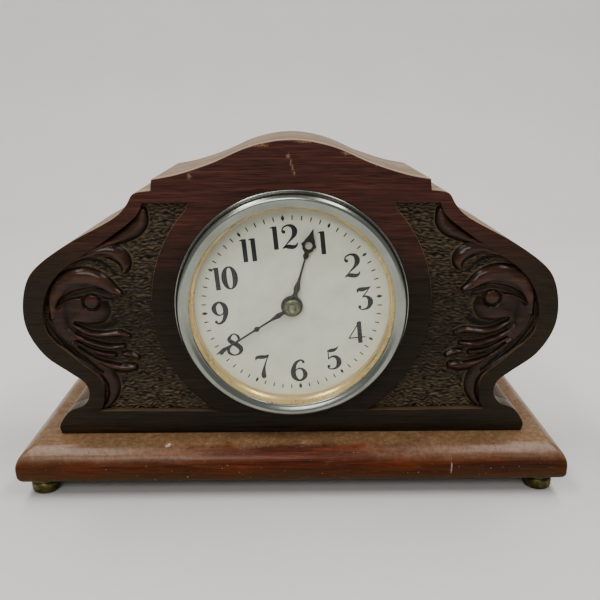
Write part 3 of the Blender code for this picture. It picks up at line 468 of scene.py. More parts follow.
def mahogany_front():
    """Dark varnished mahogany, reddest towards the top of the clock."""
    g = Graph("mahogany_front", Specular_IOR_Level=0.06, Coat_Weight=0.05, Coat_Roughness=0.16)
    broad, pores = wood_grain(g, 46.0)
    thread = g.noise((30.0, 4.0, 0.75), roughness=0.7, distortion=0.3, shift=(6.0, 0.0, 2.0))
    fibres = g.plus(g.times(broad, 0.55), g.times(thread, 0.45))
    dark = g.ramp(
        fibres, (0.36, (0.008, 0.0062, 0.0034)), (0.52, (0.016, 0.0115, 0.0064)),
        (0.66, (0.031, 0.017, 0.0098)),
    )
    red = g.ramp(
        fibres, (0.36, (0.028, 0.012, 0.0094)), (0.52, (0.062, 0.0225, 0.0165)),
        (0.66, (0.104, 0.036, 0.025)),
    )
    height = g.plus(g.axis("Z"), g.times(g.noise((38.0, 30.0, 14.0), detail=2.0), 30.0))
    wood = g.mix(g.between(height, *REDDER_ABOVE), dark, red)
    # Paler and greyer towards the sides
    sides = g.times(g.between(g.magnitude(g.axis("X")), *PALER_SIDES), 0.45)
    wood = g.mix(sides, wood, (0.032, 0.0225, 0.014))
    streaks = g.noise((44.0, 30.0, 3.0), detail=3.0, shift=(2.0, 0.0, 9.0))
    warm = g.times(g.between(g.axis("Z"), *WARM_BELOW), g.times(g.between(streaks, 0.5, 0.75), 0.6))
    wood = g.mix(warm, wood, (0.06, 0.018, 0.0095))
    wood = g.cover(wood, pores, 0.5, 0.66, 0.55, (0.004, 0.002, 0.0015))
    # Faces that look up are painted pale here: wear and dust with a painted sheen
    wood, _ = rubbed_edge(g, wood, pores, (0.31, 0.205, 0.118), (0.19, 0.12, 0.068), 0.3)
    ragged = g.noise((1.1, 1.1, 0.9), detail=5.0, roughness=0.75)
    chipped = 0.0
    for (x, z), reach in CHIPS:
        chipped = g.maths("MAXIMUM", g.spot((x, FRONT, z), reach, ragged), chipped)
    bare = g.ramp(ragged, (0.35, (0.085, 0.036, 0.02)), (0.65, (0.27, 0.155, 0.09)))
    wood = g.mix(chipped, wood, bare)
    dull = g.noise((26.0, 20.0, 12.0), detail=5.0)
    roughness = g.plus(g.ramp(dull, (0.3, 0.28), (0.7, 0.44)), g.times(chipped, 0.3))
    return g.finish(wood, roughness, g.bump(pores, 0.35, 0.14, g.bump(fibres, 0.25, 0.5)))


def mahogany_carved():
    """The carved panels: olive brown tooled ground, near black hollows that are painted shade, gouge marks
    with painted glints on their tops, and reddish high places that are worn wood with a painted highlight.
    """
    g = Graph("mahogany_carved", Specular_IOR_Level=0.08, Coat_Roughness=0.13)
    fibres, pores = wood_grain(g, 40.0)
    relief = g.node("ShaderNodeAttribute", attribute_name="relief").outputs["Fac"]
    dim = g.noise((22.0, 22.0, 16.0), detail=3.0, shift=(4.0, 0.0, 1.0))
    ends = g.between(g.magnitude(g.minus(g.axis("Z"), CARVING_MIDDLE)), *CARVING_ENDS)
    light = g.plus(g.times(dim, 0.7), g.times(ends, 0.6))
    # Painted shade and glints by depth: the ground goes near black in its deepest parts and hollows and pale
    # tan on the tops of the gouge marks
    depth_shade_and_glint = g.ramp(g.plus(relief, 0.12), (0.05, (0.0045, 0.0034, 0.0018)), (0.245, (0.11, 0.078, 0.044)))
    ground = g.mix(g.ramp(light, (0.25, 0.62), (0.85, 0.0)), depth_shade_and_glint, (0.0075, 0.006, 0.0032))
    # The high places are reddish: worn wood with a painted highlight
    worn_and_highlit = g.ramp(
        fibres, (0.3, (0.012, 0.0055, 0.003)), (0.52, (0.038, 0.014, 0.007)), (0.75, (0.095, 0.028, 0.013)),
    )
    high_wood = g.mix(g.ramp(relief, (0.45, 0.85), (0.92, 0.0)), worn_and_highlit, (0.0065, 0.0048, 0.0026))
    wood = g.cover(ground, relief, 0.125, 0.2, 1.0, high_wood)
    wood = g.cover(wood, pores, 0.52, 0.68, 0.45, (0.003, 0.0018, 0.0012))
    roughness = g.ramp(g.noise((9.0, 9.0, 6.0), detail=5.0), (0.3, 0.24), (0.7, 0.42))
    ripple = g.bump(g.noise((2.2, 2.2, 1.0)), 0.3, 0.3)
    coat = g.ramp(relief, (0.3, 0.04), (0.85, 0.32))
    return g.finish(wood, roughness, g.bump(pores, 0.3, 0.12, ripple), coat)


def mahogany_case():
    """The case's sides and back: brown, and pale on what faces up, which is grey and tan wear and dust with a
    painted sheen.
    """
    g = Graph("mahogany_case", Specular_IOR_Level=0.12, Coat_Weight=0.06, Coat_Roughness=0.3)
    lengthwise = g.noise((9.0, 60.0, 9.0), detail=6.0, roughness=0.65, distortion=0.5)
    across = g.noise((48.0, 9.0, 3.0), detail=6.0, roughness=0.65, distortion=0.6)
    behind = g.between(g.axis("Y"), high("case_body").y, high("case_body").y + 0.5)
    grain = g.mix(behind, lengthwise, across)
    pores = g.noise((0.8, 9.0, 0.45), detail=3.0, shift=(3.0, 1.0, 7.0))
    brown = g.ramp(
        grain, (0.3, (0.018, 0.0075, 0.0048)), (0.55, (0.05, 0.02, 0.0115)), (0.75, (0.098, 0.042, 0.023)),
    )
    wood = g.cover(brown, pores, 0.55, 0.72, 0.45, (0.02, 0.011, 0.0075))
    # Faces that look up are painted pale: wear and dust with a painted sheen
    wood, patchy = rubbed_edge(g, wood, pores, (0.225, 0.14, 0.074), (0.13, 0.08, 0.042), 1.0)
    specks = g.noise((0.8, 0.8, 0.8), detail=1.0, shift=(5.0, 2.0, 8.0))
    wood = g.cover(wood, specks, 0.77, 0.8, 0.85, (0.55, 0.5, 0.43))
    roughness = g.ramp(patchy, (0.3, 0.34), (0.7, 0.55))
    return g.finish(wood, roughness, g.bump(pores, 0.3, 0.12, g.bump(grain, 0.2, 0.5)))


def mahogany_base():
    """The base: red-brown with worn patches, dust on top, a few pale specks, and a pale top rounding towards
    its ends that is dust-coloured wear with a painted highlight.
    """
    g = Graph("mahogany_base", Specular_IOR_Level=0.08, Coat_Roughness=0.2)
    fibres, pores = wood_grain(g, 60.0)
    wood = g.ramp(
        fibres, (0.28, (0.02, 0.005, 0.0015)), (0.46, (0.062, 0.0112, 0.002)),
        (0.6, (0.122, 0.024, 0.0042)), (0.78, (0.205, 0.062, 0.013)),
    )
    shade = g.noise((70.0, 30.0, 8.0), shift=(1.0, 0.0, 4.0))
    wood = g.mix(g.ramp(shade, (0.38, 0.72), (0.6, 0.0)), wood, (0.028, 0.013, 0.0045))
    # More yellow-brown towards the left end
    wood = g.mix(g.times(g.between(g.axis("X"), *BASE_YELLOWER_LEFT), 0.55), wood, (0.056, 0.023, 0.0055))
    red = g.noise((40.0, 30.0, 5.0), shift=(11.0, 0.0, 2.0))
    wood = g.cover(wood, red, 0.5, 0.7, 0.6, (0.135, 0.018, 0.0055))
    wood = g.cover(wood, pores, 0.5, 0.66, 0.65, (0.01, 0.0048, 0.003))
    film = g.noise((12.0, 9.0, 9.0), detail=6.0, roughness=0.7, shift=(0.0, 4.0, 0.0))
    depth = g.plus(g.minus(BASE_TOP, g.axis("Z")), g.wander(film, 8.0))
    wood = g.mix(g.times(g.between(depth, *BASE_WORN_DEPTH), 0.8), wood, (0.048, 0.026, 0.009))
    scuffs = g.noise((7.0, 4.0, 0.55), roughness=0.7, shift=(8.0, 3.0, 1.0))
    wood = g.cover(wood, scuffs, 0.6, 0.72, 0.5, (0.22, 0.11, 0.04))
    upward = g.plus(g.facing("Z"), g.wander(film, 0.35))
    fluff = g.noise((2.4, 2.4, 2.4), detail=6.0, roughness=0.8)
    dust = g.ramp(
        fluff, (0.3, (0.105, 0.052, 0.024)), (0.5, (0.18, 0.102, 0.046)), (0.72, (0.33, 0.205, 0.105)),
    )
    wood = g.mix(g.times(g.between(upward, 0.86, 1.02), 0.9), wood, dust)
    # The top rounding towards the ends is painted pale: dust-coloured wear with a painted highlight of the
    # lamps overhead
    shoulder = g.times(g.between(upward, 0.22, 0.8), g.between(upward, 1.05, 0.85))
    ends = g.between(g.plus(g.magnitude(g.axis("X")), g.times(film, 60.0)), *BASE_WORN_AND_HIGHLIT_ENDS)
    worn_and_highlit = g.ramp(fluff, (0.3, (0.14, 0.066, 0.034)), (0.7, (0.4, 0.245, 0.14)))
    wood = g.mix(g.times(g.times(shoulder, ends), 0.55), wood, worn_and_highlit)
    specks = g.noise((0.9, 0.9, 0.9), detail=1.0, shift=(5.0, 2.0, 8.0))
    wood = g.cover(wood, specks, 0.775, 0.8, 0.9, (0.5, 0.42, 0.32))
    ragged = g.noise((1.1, 1.1, 0.9), detail=5.0, roughness=0.75)
    blob = g.spot((-58.6, -45.0, 24.4), (1.5, 1.7, 1.9), ragged)
    split = g.spot((74.4, -52.0, 15.5), (0.55, 3.0, 4.6), ragged)
    wood = g.mix(g.maths("MAXIMUM", blob, g.times(split, 0.5)), wood, (0.58, 0.46, 0.31))
    matt = g.times(g.between(upward, 0.9, 1.0), 0.22)
    roughness = g.plus(g.ramp(film, (0.3, 0.26), (0.7, 0.46)), matt)
    coat = g.times(g.between(g.facing("Z"), 0.15, 0.85), g.minus(0.36, matt))
    return g.finish(wood, roughness, g.bump(pores, 0.45, 0.18, g.bump(fibres, 0.35, 0.8)), coat)


def metal(name, colour, tarnish, gloss, spread, patch=14.0, brushed=(0.35, 0.35, 0.35), bump=0.05):
    """A worn metal: clean colour, tarnished patches, fine scratches and uneven gloss."""
    g = Graph(name, Metallic=1.0)
    film = g.noise((patch, patch, patch), detail=6.0, roughness=0.65)
    fine = g.noise(brushed, detail=3.0, shift=(2.0, 5.0, 1.0))
    shade = g.mix(g.ramp(film, (0.36, 0.0), (0.36 + spread, 1.0)), colour, tarnish)
    roughness = g.plus(g.ramp(film, (0.3, gloss), (0.75, gloss + 0.16)), g.times(fine, 0.05))
    return g.finish(shade, roughness, g.bump(fine, bump, 0.05))


def blackened():
    """Old blued steel, dark brown where the blue has turned."""
    g = Graph("blued_steel", Metallic=0.85)
    film = g.noise((3.5, 3.5, 3.5), detail=5.0)
    shade = g.ramp(film, (0.35, (0.0105, 0.012, 0.015)), (0.65, (0.03, 0.02, 0.014)))
    return g.finish(shade, g.ramp(film, (0.3, 0.3), (0.7, 0.48)), g.bump(film, 0.1, 0.1))


def dial_card():
    """Cream painted card, a little mottled and darker towards its edge."""
    g = Graph("dial_cream", Specular_IOR_Level=0.4)
    mottle = g.noise((11.0, 11.0, 11.0), detail=7.0, roughness=0.6)
    shade = g.ramp(
        mottle, (0.3, (0.52, 0.53, 0.425)), (0.55, (0.59, 0.602, 0.492)), (0.8, (0.63, 0.638, 0.535)),
    )
    from_middle = g.node("ShaderNodeVectorMath", [(0, g.position), (1, DIAL * MM)], operation="DISTANCE")
    rim = g.between(from_middle.outputs["Value"], 39.0 * MM, 47.5 * MM)
    shade = g.mix(g.times(rim, 0.35), shade, (0.45, 0.41, 0.32))
    grain = g.noise((0.5, 0.5, 0.5), detail=3.0)
    specks = g.noise((0.8, 0.8, 0.8), detail=1.0, shift=(1.0, 7.0, 3.0))
    shade = g.cover(shade, specks, 0.76, 0.79, 0.35, (0.25, 0.2, 0.13))
    return g.finish(shade, g.ramp(mottle, (0.3, 0.42), (0.7, 0.55)), g.bump(grain, 0.08, 0.05))


def printed_ink():
    """Black printing ink, slightly uneven in its cover."""
    g = Graph("dial_ink", Specular_IOR_Level=0.15)
    cover = g.noise((0.9, 0.9, 0.9))
    shade = g.ramp(cover, (0.3, (0.0035, 0.0048, 0.0042)), (0.75, (0.01, 0.013, 0.012)))
    return g.finish(shade, g.ramp(cover, (0.3, 0.4), (0.7, 0.55)), g.bump(cover, 0.05, 0.03))


def window_glass():
    """Clear old glass. Lamps shine through it onto the dial."""
    g = Graph("glass", IOR=1.36, Transmission_Weight=1.0, Base_Color=(0.97, 0.985, 0.975, 1.0))
    wipe = g.noise((22.0, 22.0, 22.0))
    g.put(g.shader.inputs["Roughness"], g.ramp(wipe, (0.4, 0.0), (0.8, 0.03)))
    shadow = g.node("ShaderNodeLightPath").outputs["Is Shadow Ray"]
    clear = g.node("ShaderNodeBsdfTransparent").outputs[0]
    blend = g.node("ShaderNodeMixShader", [(0, shadow), (1, g.shader.outputs[0]), (2, clear)])
    g.put(g.nodes["Material Output"].inputs["Surface"], blend.outputs[0])
    return g.material


def floor_paint():
    """The pale studio floor, faintly uneven in tone."""
    g = Graph("studio_floor", Roughness=0.7, Specular_IOR_Level=0.3)
    tone = g.noise((90.0, 90.0, 90.0), detail=3.0)
    return g.finish(g.ramp(tone, (0.3, (0.71, 0.7, 0.68)), (0.7, (0.735, 0.725, 0.705))))


MATERIALS = {
    "front": mahogany_front(),
    "carved": mahogany_carved(),
    "case": mahogany_case(),
    "base": mahogany_base(),
    # The feet's brass is tarnished, and further darkened to olive brown as painted shade
    "feet": metal("brass_feet", (0.145, 0.12, 0.04), (0.038, 0.035, 0.012), 0.32, 0.24, 4.0, bump=0.15),
    # The nickel is darkened and tinted green-grey: a painted reflection of a green table
    "nickel": metal("nickel", (0.315, 0.338, 0.3), (0.21, 0.222, 0.19), 0.12, 0.4, 22.0, bump=0.02),
    "gilt": metal("gilt", (0.8, 0.61, 0.29), (0.7, 0.51, 0.23), 0.17, 0.45, 24.0, bump=0.0),
    "collet": metal("collet_brass", (0.185, 0.19, 0.088), (0.09, 0.09, 0.04), 0.2, 0.3, 2.0),
    "brass": metal("brass_case", (0.5, 0.36, 0.145), (0.33, 0.225, 0.085), 0.26, 0.4, 30.0, (6.0, 0.5, 0.3)),
    "movement": metal("brass_movement", (0.66, 0.5, 0.23), (0.44, 0.32, 0.15), 0.2, 0.34, 7.0),
    "steel": metal("steel", (0.44, 0.43, 0.42), (0.2, 0.165, 0.13), 0.26, 0.34, 5.0),
    "blued": blackened(),
    "dial": dial_card(),
    "ink": printed_ink(),
    "glass": window_glass(),
}
# The slot of each finish. The first finish of a slot also dresses the slot's CAD nodes
SLOTS = {
    "front": "mahogany_front", "carved": "mahogany_front", "case": "mahogany_case", "base": "mahogany_base",
    "feet": "brass_feet", "nickel": "nickel", "gilt": "gilt", "collet": "gilt", "brass": "brass_case",
    "movement": "brass_movement", "steel": "steel", "blued": "blued_steel", "dial": "dial_cream",
    "ink": "dial_cream", "glass": "glass",
}


# ---------------------------------------------------------------- base, feet and case

BASE_BOTTOM_ROUND = 3.0
BASE_TOP_ROUND = 10.0
BASE_CORNER_ROUND = 1.6
# How many steps the long and short sides of the base are cut into, so that wear can shape them
SIDE_STEPS = (130, 52)


def make_base():
    """The base slab: a wide rounding above, a small one below, worn unevenly along its edges."""
    centre, half = middle("base_plinth"), (high("base_plinth") - low("base_plinth")) / 2
    bottom = low("base_plinth").z
    rising, falling = BASE_BOTTOM_ROUND, BASE_TOP_ROUND
    levels = [(rising * (1 - math.sin(a)), bottom + rising * (1 - math.cos(a))) for a in quarter(5)]
    levels += [(falling * (1 - math.cos(a)), BASE_TOP - falling * (1 - math.sin(a))) for a in quarter(12)]
    points = []
    for inset, z in levels:
        for x, y in rounded_rectangle(half.x - inset, half.y - inset, BASE_CORNER_ROUND):
            shrink = base_wear(x, y, z, bottom)
            points.append((centre.x + x * (1 - shrink / half.x), centre.y + y * (1 - shrink / half.y), z))
    count = len(points) // len(levels)
    faces = [
        (r * count + k, r * count + (k + 1) % count, (r + 1) * count + (k + 1) % count, (r + 1) * count + k)
        for r in range(len(levels) - 1) for k in range(count)
    ]
    faces.append(tuple(range(count)))
    faces.append(tuple(range(len(points) - count, len(points))))
    place(as_object("base_slab", points, faces), "case", "base", "base_plinth")


def base_wear(x, y, z, bottom):
    """How far the base is worn back at a point: a slow waviness, and small chips near its bottom edge."""
    near_edge = max(0.0, 1.0 - abs(z - bottom) / 6.0)
    wave = 0.35 * noise.noise(Vector((x / 14, y / 14, z / 9)))
    chip = max(0.0, noise.noise(Vector((x / 4.5, y / 4.5, z / 4.5 + 3.0))) - 0.25) * 1.5 * near_edge
    return max(0.0, wave) * 0.6 + chip


def quarter(steps):
    return [math.pi / 2 * k / steps for k in range(steps + 1)]


def rounded_rectangle(half_x, half_y, radius):
    """Points round a rectangle with rounded corners."""
    arcs = []
    for k, (side_x, side_y) in enumerate([(1, 1), (-1, 1), (-1, -1), (1, -1)]):
        middle_x, middle_y = side_x * (half_x - radius), side_y * (half_y - radius)
        turns = [math.pi * (0.5 * k + 0.5 * step / 4) for step in range(5)]
        arcs.append([(middle_x + radius * math.cos(a), middle_y + radius * math.sin(a)) for a in turns])
    points = []
    for k, arc in enumerate(arcs):
        (start_x, start_y), (end_x, end_y) = arc[-1], arcs[(k + 1) % 4][0]
        steps = SIDE_STEPS[k % 2]
        points += arc
        points += [
            (start_x + (end_x - start_x) * i / steps, start_y + (end_y - start_y) * i / steps)
            for i in range(1, steps)
        ]
    return points


def make_feet():
    """Four turned bun feet."""
    for depth in ("front", "rear"):
        for side in ("left", "right"):
            node = f"foot_{depth}_{side}"
            sole, top = low(node).z, high(node).z
            radius = half_width(node)
            profile = rounded([
                (0, sole), (radius * 0.84, sole), (radius * 0.96, sole + 0.7), (radius, sole + 1.6),
                (radius, sole + 4.6), (radius * 0.93, sole + 5.4), (radius * 0.86, sole + 5.7),
                (radius * 0.88, top), (0, top),
            ], 0.5)
            foot = lathe(f"bun_{node}", profile, middle(node), 40, upright=True)
            place(foot, "case", "feet", node)


CASE_OUTLINE = mirrored(smooth(CASE_HALF, 10))
CAVITY_OUTLINE = mirrored(smooth(CAVITY_HALF, 8))
RIGHT_FIELD = field_outline()
LEFT_FIELD = [(-x, z) for x, z in RIGHT_FIELD]
BACK_HOLE_RADIUS = 36.5
BEZEL_HOLE_RADIUS = 48.8


def on_base(points):
    return [(x, z + BASE_TOP) for x, z in points]


def make_case():
    """The front frame with its openings, the hollow shell behind it and the back panel."""
    spot = (DIAL.x, DIAL.z)
    outside = on_base(CASE_OUTLINE)
    layers = [
        ("case_shell", "case_body", "case", 0.2, [on_base(CAVITY_OUTLINE)]),
        ("back_panel", "back_board", "case", 0.8, [circle(BACK_HOLE_RADIUS, 96, spot)]),
        ("front_frame", "front_board", "front", 0.4,
         [circle(BEZEL_HOLE_RADIUS, 128, spot), on_base(RIGHT_FIELD), on_base(LEFT_FIELD)]),
    ]
    for name, node, finish, edge, holes in layers:
        layer = plate(name, [outside, *holes], low(node).y, high(node).y, edge)
        place(layer, "case", finish, node)


# The slot's half width as a share of the head's radius, and how deep a head is
SLOT_SHARE = 0.13
HEAD_DEPTH = 1.4
# The back door's outer face stands this far behind the back board
DOOR_STANDOFF = 2.0
# Rings on the door as (radius, height above the door)
DOOR_RIM = [(37.9, -0.2), (37.9, 0.45), (37.3, 0.85), (36.6, 0.6), (36.2, -0.2)]
DOOR_BEAD = [(27.4, -0.2), (27.4, 0.2), (26.9, 0.45), (26.4, 0.2), (26.4, -0.2)]


def slotted_head(name, centre, radius, y_low, y_high, turn):
    """A round screw head with a sawn slot across it."""
    start = math.asin(SLOT_SHARE)
    angles = [start + (math.pi - 2 * start) * k / 16 for k in range(17)]
    upper = [(radius * math.cos(a), radius * math.sin(a)) for a in angles]
    lower = [(-x, -z) for x, z in upper]
    floor_y = y_low + 0.45 * (y_high - y_low)
    cheeks = plate(name + "_cheeks", [upper, lower], floor_y - 0.1, y_high, 0.12, centre, turn)
    floor = plate(name + "_floor", [circle(radius, 32)], y_low, floor_y, 0.05, centre, turn)
    return joined(name, [cheeks, floor])


def make_back_fittings():
    """Slotted screws in the back board, and raised rings on its brass door."""
    for number in range(1, 5):
        node = f"back_board_screw_{number}"
        name = f"back_screw_head_{number}"
        head_y, centre = high(node).y, middle(node)
        radius = half_width(node)
        head = slotted_head(name, (centre.x, centre.z), radius, head_y - HEAD_DEPTH, head_y, 0.7 * number)
        place(head, "case", "brass", node)
    door_y = high("back_board").y + DOOR_STANDOFF
    for name, profile, curve in (("door_rim", DOOR_RIM, 0.2), ("door_bead", DOOR_BEAD, 0.15)):
        on_door = [(radius, door_y + height) for radius, height in profile]
        ring = lathe(name, rounded(on_door, curve, 3), DIAL, 128, closed=True)
        place(ring, "door", "brass")


# ---------------------------------------------------------------- carved panels

# Heights are measured forward from the front board's face
GROUND = -3.1
DEEPEST, HIGHEST = -3.38, -0.02
CELL = 0.36
# The ground's gouge marks: their spacing, how far they wander, how high and unevenly they stand, and how far
# they are set below the ground's level
MARK_STEP, MARK_WANDER, MARK_HEIGHT, MARK_UNEVEN, MARK_SINK = 1.45, 1.1, 0.42, 0.62, 0.26
# The panel block runs past its opening and back into the board
PANEL_MARGIN = 1.4
PANEL_DEPTH = 6.0
# The right panel's carving sits a little further out, and higher between two heights; it fades in and out
RIGHT_OUT, RIGHT_UP = 0.48, 1.2
RIGHT_UP_FROM, RIGHT_UP_TO = 30, 100
RIGHT_FADE_IN, RIGHT_FADE_OUT = 30, 20

# Strokes of the left panel's carving: (x, z, half width) along each, then the height of its crest or floor
BODY = [
    ([(-108, 66, 4.4), (-108, 56, 5.6), (-103, 48, 6), (-96, 40.5, 5.4), (-89.9, 33.5, 4.6), (-86, 27, 3.9),
      (-85.6, 21, 3.2), (-87.8, 16, 2.1), (-90.2, 13.6, 1.2)], -1.0),
    ([(-97, 60, 9), (-96.5, 66, 12.6), (-97, 72, 10)], -1.0),
    ([(-99, 57, 6.5), (-95, 59, 8), (-90, 62, 6.5)], -0.8),
]
CREST = [
    ([(-110.6, 59, 1.8), (-109.6, 67, 3.5), (-106.2, 73.6, 4.7), (-100.6, 77.2, 5.2), (-94.8, 78.2, 5.2),
      (-89.4, 77, 4.8), (-85.2, 74.6, 3.9), (-81.8, 72, 2.7), (-78.9, 70.6, 1.6)], -0.1),
]
HOLLOWS = [
    ([(-108.4, 63.4, 0.7), (-105.6, 67, 1.3), (-101.4, 69.3, 1.9), (-96.8, 70.6, 2), (-92.2, 71.4, 1.8),
      (-87.6, 70.2, 1.6), (-83.6, 68.8, 1.2)], -3.2),
    ([(-100, 55.6, 1.4), (-94, 53.6, 2.4), (-88, 53.8, 2.8), (-82, 56, 2.6)], -3.3),
    ([(-113.6, 66, 1.2), (-112.4, 74, 1.4), (-107.6, 80.4, 1.6), (-100, 85, 1.5), (-92, 86, 1.5),
      (-85.6, 84.4, 1.8), (-80.6, 79, 2)], -3.3),
    ([(-112.6, 57, 0.8), (-110.2, 51.4, 0.8), (-104, 44.6, 0.8), (-96, 37.6, 0.9), (-90.2, 32, 0.9)], -2.7),
]
FRONDS = [
    ([(-101, 54.5, 1.6), (-96, 51.6, 2), (-91, 50.4, 2.1), (-86.5, 50.4, 2.1), (-80.5, 50.9, 2.2),
      (-76.2, 49.8, 1.4)], -0.35),
    ([(-104, 52.8, 1.6), (-99.4, 48.8, 1.9), (-94.7, 46.5, 2), (-90, 44.9, 2), (-84.7, 44, 2.1),
      (-79.2, 44.8, 1.5)], -0.35),
    ([(-103, 49.6, 1.6), (-97, 45.4, 1.8), (-92.4, 42.6, 1.8), (-88.8, 40.9, 1.8), (-83.8, 40.2, 1.6)], -0.5),
    ([(-79.5, 40.8, 1.3), (-76.5, 40.4, 2.3), (-73, 39, 1.8)], -0.4),
    ([(-103, 46.4, 1.8), (-96, 41.6, 2.3), (-92, 38.6, 2.9), (-88, 36, 3.4), (-83.5, 34.3, 3.6),
      (-79, 33.6, 3.4), (-75, 34, 2.4)], -0.2),
]
FROND_GAPS = [
    ([(-100.5, 51.2, 0.5), (-94, 48.4, 0.9), (-88, 47.4, 1.1), (-79.5, 47.6, 1.3)], -3.1),
    ([(-101, 47.6, 0.5), (-94, 44, 0.8), (-89, 42.7, 0.9), (-82, 42.2, 1.2)], -3.1),
    ([(-100, 44.6, 0.5), (-94, 40.2, 0.9), (-88, 38, 1.1), (-81, 36.8, 1.5)], -3.2),
]
LEAVES = [
    ([(-92, 90, 1), (-86, 92.4, 1.8), (-80, 94.8, 2.6), (-75.4, 97, 3.6), (-70.8, 99.8, 4.3),
      (-67.6, 103.4, 4), (-66, 108.4, 2.2)], -0.2),
    ([(-103, 83.2, 0.9), (-98, 86, 1.4), (-92.5, 88.4, 2.2), (-87, 90.2, 3.2), (-81.5, 90, 4.6),
      (-77.4, 87.4, 4.4), (-75.6, 83.8, 3.2), (-76.4, 80.8, 1.8)], -0.2),
]
RIDGES = [
    ([(-108.5, 63.4, 0.9), (-105.3, 65.9, 0.9), (-100, 67.6, 0.9), (-96.8, 67.6, 0.8)], -0.2),
    ([(-88.2, 67.4, 0.8), (-83, 67.5, 0.6)], -0.5),
    ([(-101, 85.4, 0.6), (-95, 87.2, 0.8), (-88.8, 88.1, 0.9), (-80, 88.2, 0.6)], -0.05),
    ([(-115.9, 58, 0.7), (-114.2, 52, 0.7), (-110.6, 47.2, 0.7), (-106.4, 42.4, 0.7), (-101.6, 38.6, 0.7),
      (-95.8, 34.6, 0.7), (-92.3, 31, 0.7), (-90.4, 26.5, 0.7)], -0.45),
]
# The order of carving. Power 2 and more raises a round back and 1 a sharp ridge; no power sinks a hollow
LAYERS = [
    (BODY, 2.6, 0.8), (CREST, 2.4, 0.25), (HOLLOWS, None, None), (FRONDS, 1.35, 0.2),
    (FROND_GAPS, None, None), (LEAVES, 1.7, 0.3), (RIDGES, 1.2, 0.15),
]
# The eye is a ball in a round groove
EYE = (-92.3, 66.6)
BALL_RADIUS, BALL_FOOT, BALL_RISE = 3.3, -1.2, 0.9
GROOVE_RADIUS, GROOVE_HALF, GROOVE_FLOOR, GROOVE_RISE, GROOVE_REACH = 3.9, 1.1, -2.1, 1.8, 6.0


def gouge_marks(x, z):
    """Short level cuts left by the gouge, each a few millimetres long."""
    wander = MARK_WANDER * noise.noise(Vector((x / 3.4, z / 3.0, 4.0)))
    broken = MARK_UNEVEN * noise.noise(Vector((x / 2.0, z / 0.9, 0.0)))
    ripple = abs(math.sin(math.pi * (z / MARK_STEP + wander)))
    return (MARK_HEIGHT + broken) * ripple - MARK_SINK


def along(stroke, x, z):
    """How far each point is from the stroke's middle line, in half widths."""
    rows = sweep_values(stroke, 8)
    best = np.full(x.shape, 9.0)
    for start, end in zip(rows, rows[1:]):
        step = end[:2] - start[:2]
        t = np.clip(((x - start[0]) * step[0] + (z - start[1]) * step[1]) / (step @ step), 0, 1)
        away = np.hypot(x - start[0] - t * step[0], z - start[1] - t * step[1])
        best = np.minimum(best, away / (start[2] + t * (end[2] - start[2])))
    return best


def soft_max(first, second, blend):
    """The higher of two surfaces, with a soft join where they meet."""
    gap = np.clip(blend - np.abs(first - second), 0, None) / blend
    return np.maximum(first, second) + gap ** 2 * blend / 4


def raise_stroke(height, away, crest, power, blend):
    shape = np.clip(1 - np.clip(away, 0, 1.6) ** power, -0.6, 1)
    return soft_max(height, GROUND + (crest - GROUND) * shape, blend)


def sink_stroke(height, away, level):
    bowl = level + np.clip(away, 0, 3) ** 2.5 * 1.6
    return -soft_max(-height, -bowl, 0.35)


def carving(x, z):
    """The relief of the left panel: how far its surface stands from the front plane, in front positive."""
    height = GROUND + np.array([gouge_marks(a, b) for a, b in zip(x, z)])
    for strokes, power, blend in LAYERS:
        for stroke, level in strokes:
            away = along(stroke, x, z)
            if power:
                height = raise_stroke(height, away, level, power, blend)
            else:
                height = sink_stroke(height, away, level)
    from_eye = np.hypot(x - EYE[0], z - EYE[1])
    groove = GROOVE_FLOOR + GROOVE_RISE * np.clip((from_eye - GROOVE_RADIUS) / GROOVE_HALF, -1, 3) ** 2
    height = np.minimum(height, np.where(from_eye < GROOVE_REACH, groove, height))
    ball = BALL_FOOT + BALL_RISE * np.sqrt(np.clip(1 - (from_eye / BALL_RADIUS) ** 2, 0, 1))
    height = np.where(from_eye < BALL_RADIUS, np.maximum(ball, GROOVE_FLOOR), height)
    tool_marks = np.array([noise.noise(Vector((a / 5.0, b / 3.2, 2.0))) for a, b in zip(x, z)])
    return np.clip(height + 0.16 * tool_marks, DEEPEST, HIGHEST)


def inside(outline, x, z):
    """True where the points lie inside the outline."""
    odd = np.zeros(x.shape, bool)
    for (ax, az), (bx, bz) in zip(outline, outline[1:] + outline[:1]):
        crosses = (az > z) != (bz > z)
        with np.errstate(divide="ignore", invalid="ignore"):
            odd ^= crosses & (x < (bx - ax) * (z - az) / (bz - az) + ax)
    return odd


def grown(outline, margin):
    """The outline pushed outwards all round."""
    pushed = []
    push = margin if runs_left(outline) else -margin
    for before, after, point in zip(outline[-1:] + outline[:-1], outline[1:] + outline[:1], outline):
        tangent = Vector((after[0] - before[0], after[1] - before[1])).normalized()
        pushed.append((point[0] + tangent.y * push, point[1] - tangent.x * push))
    return pushed


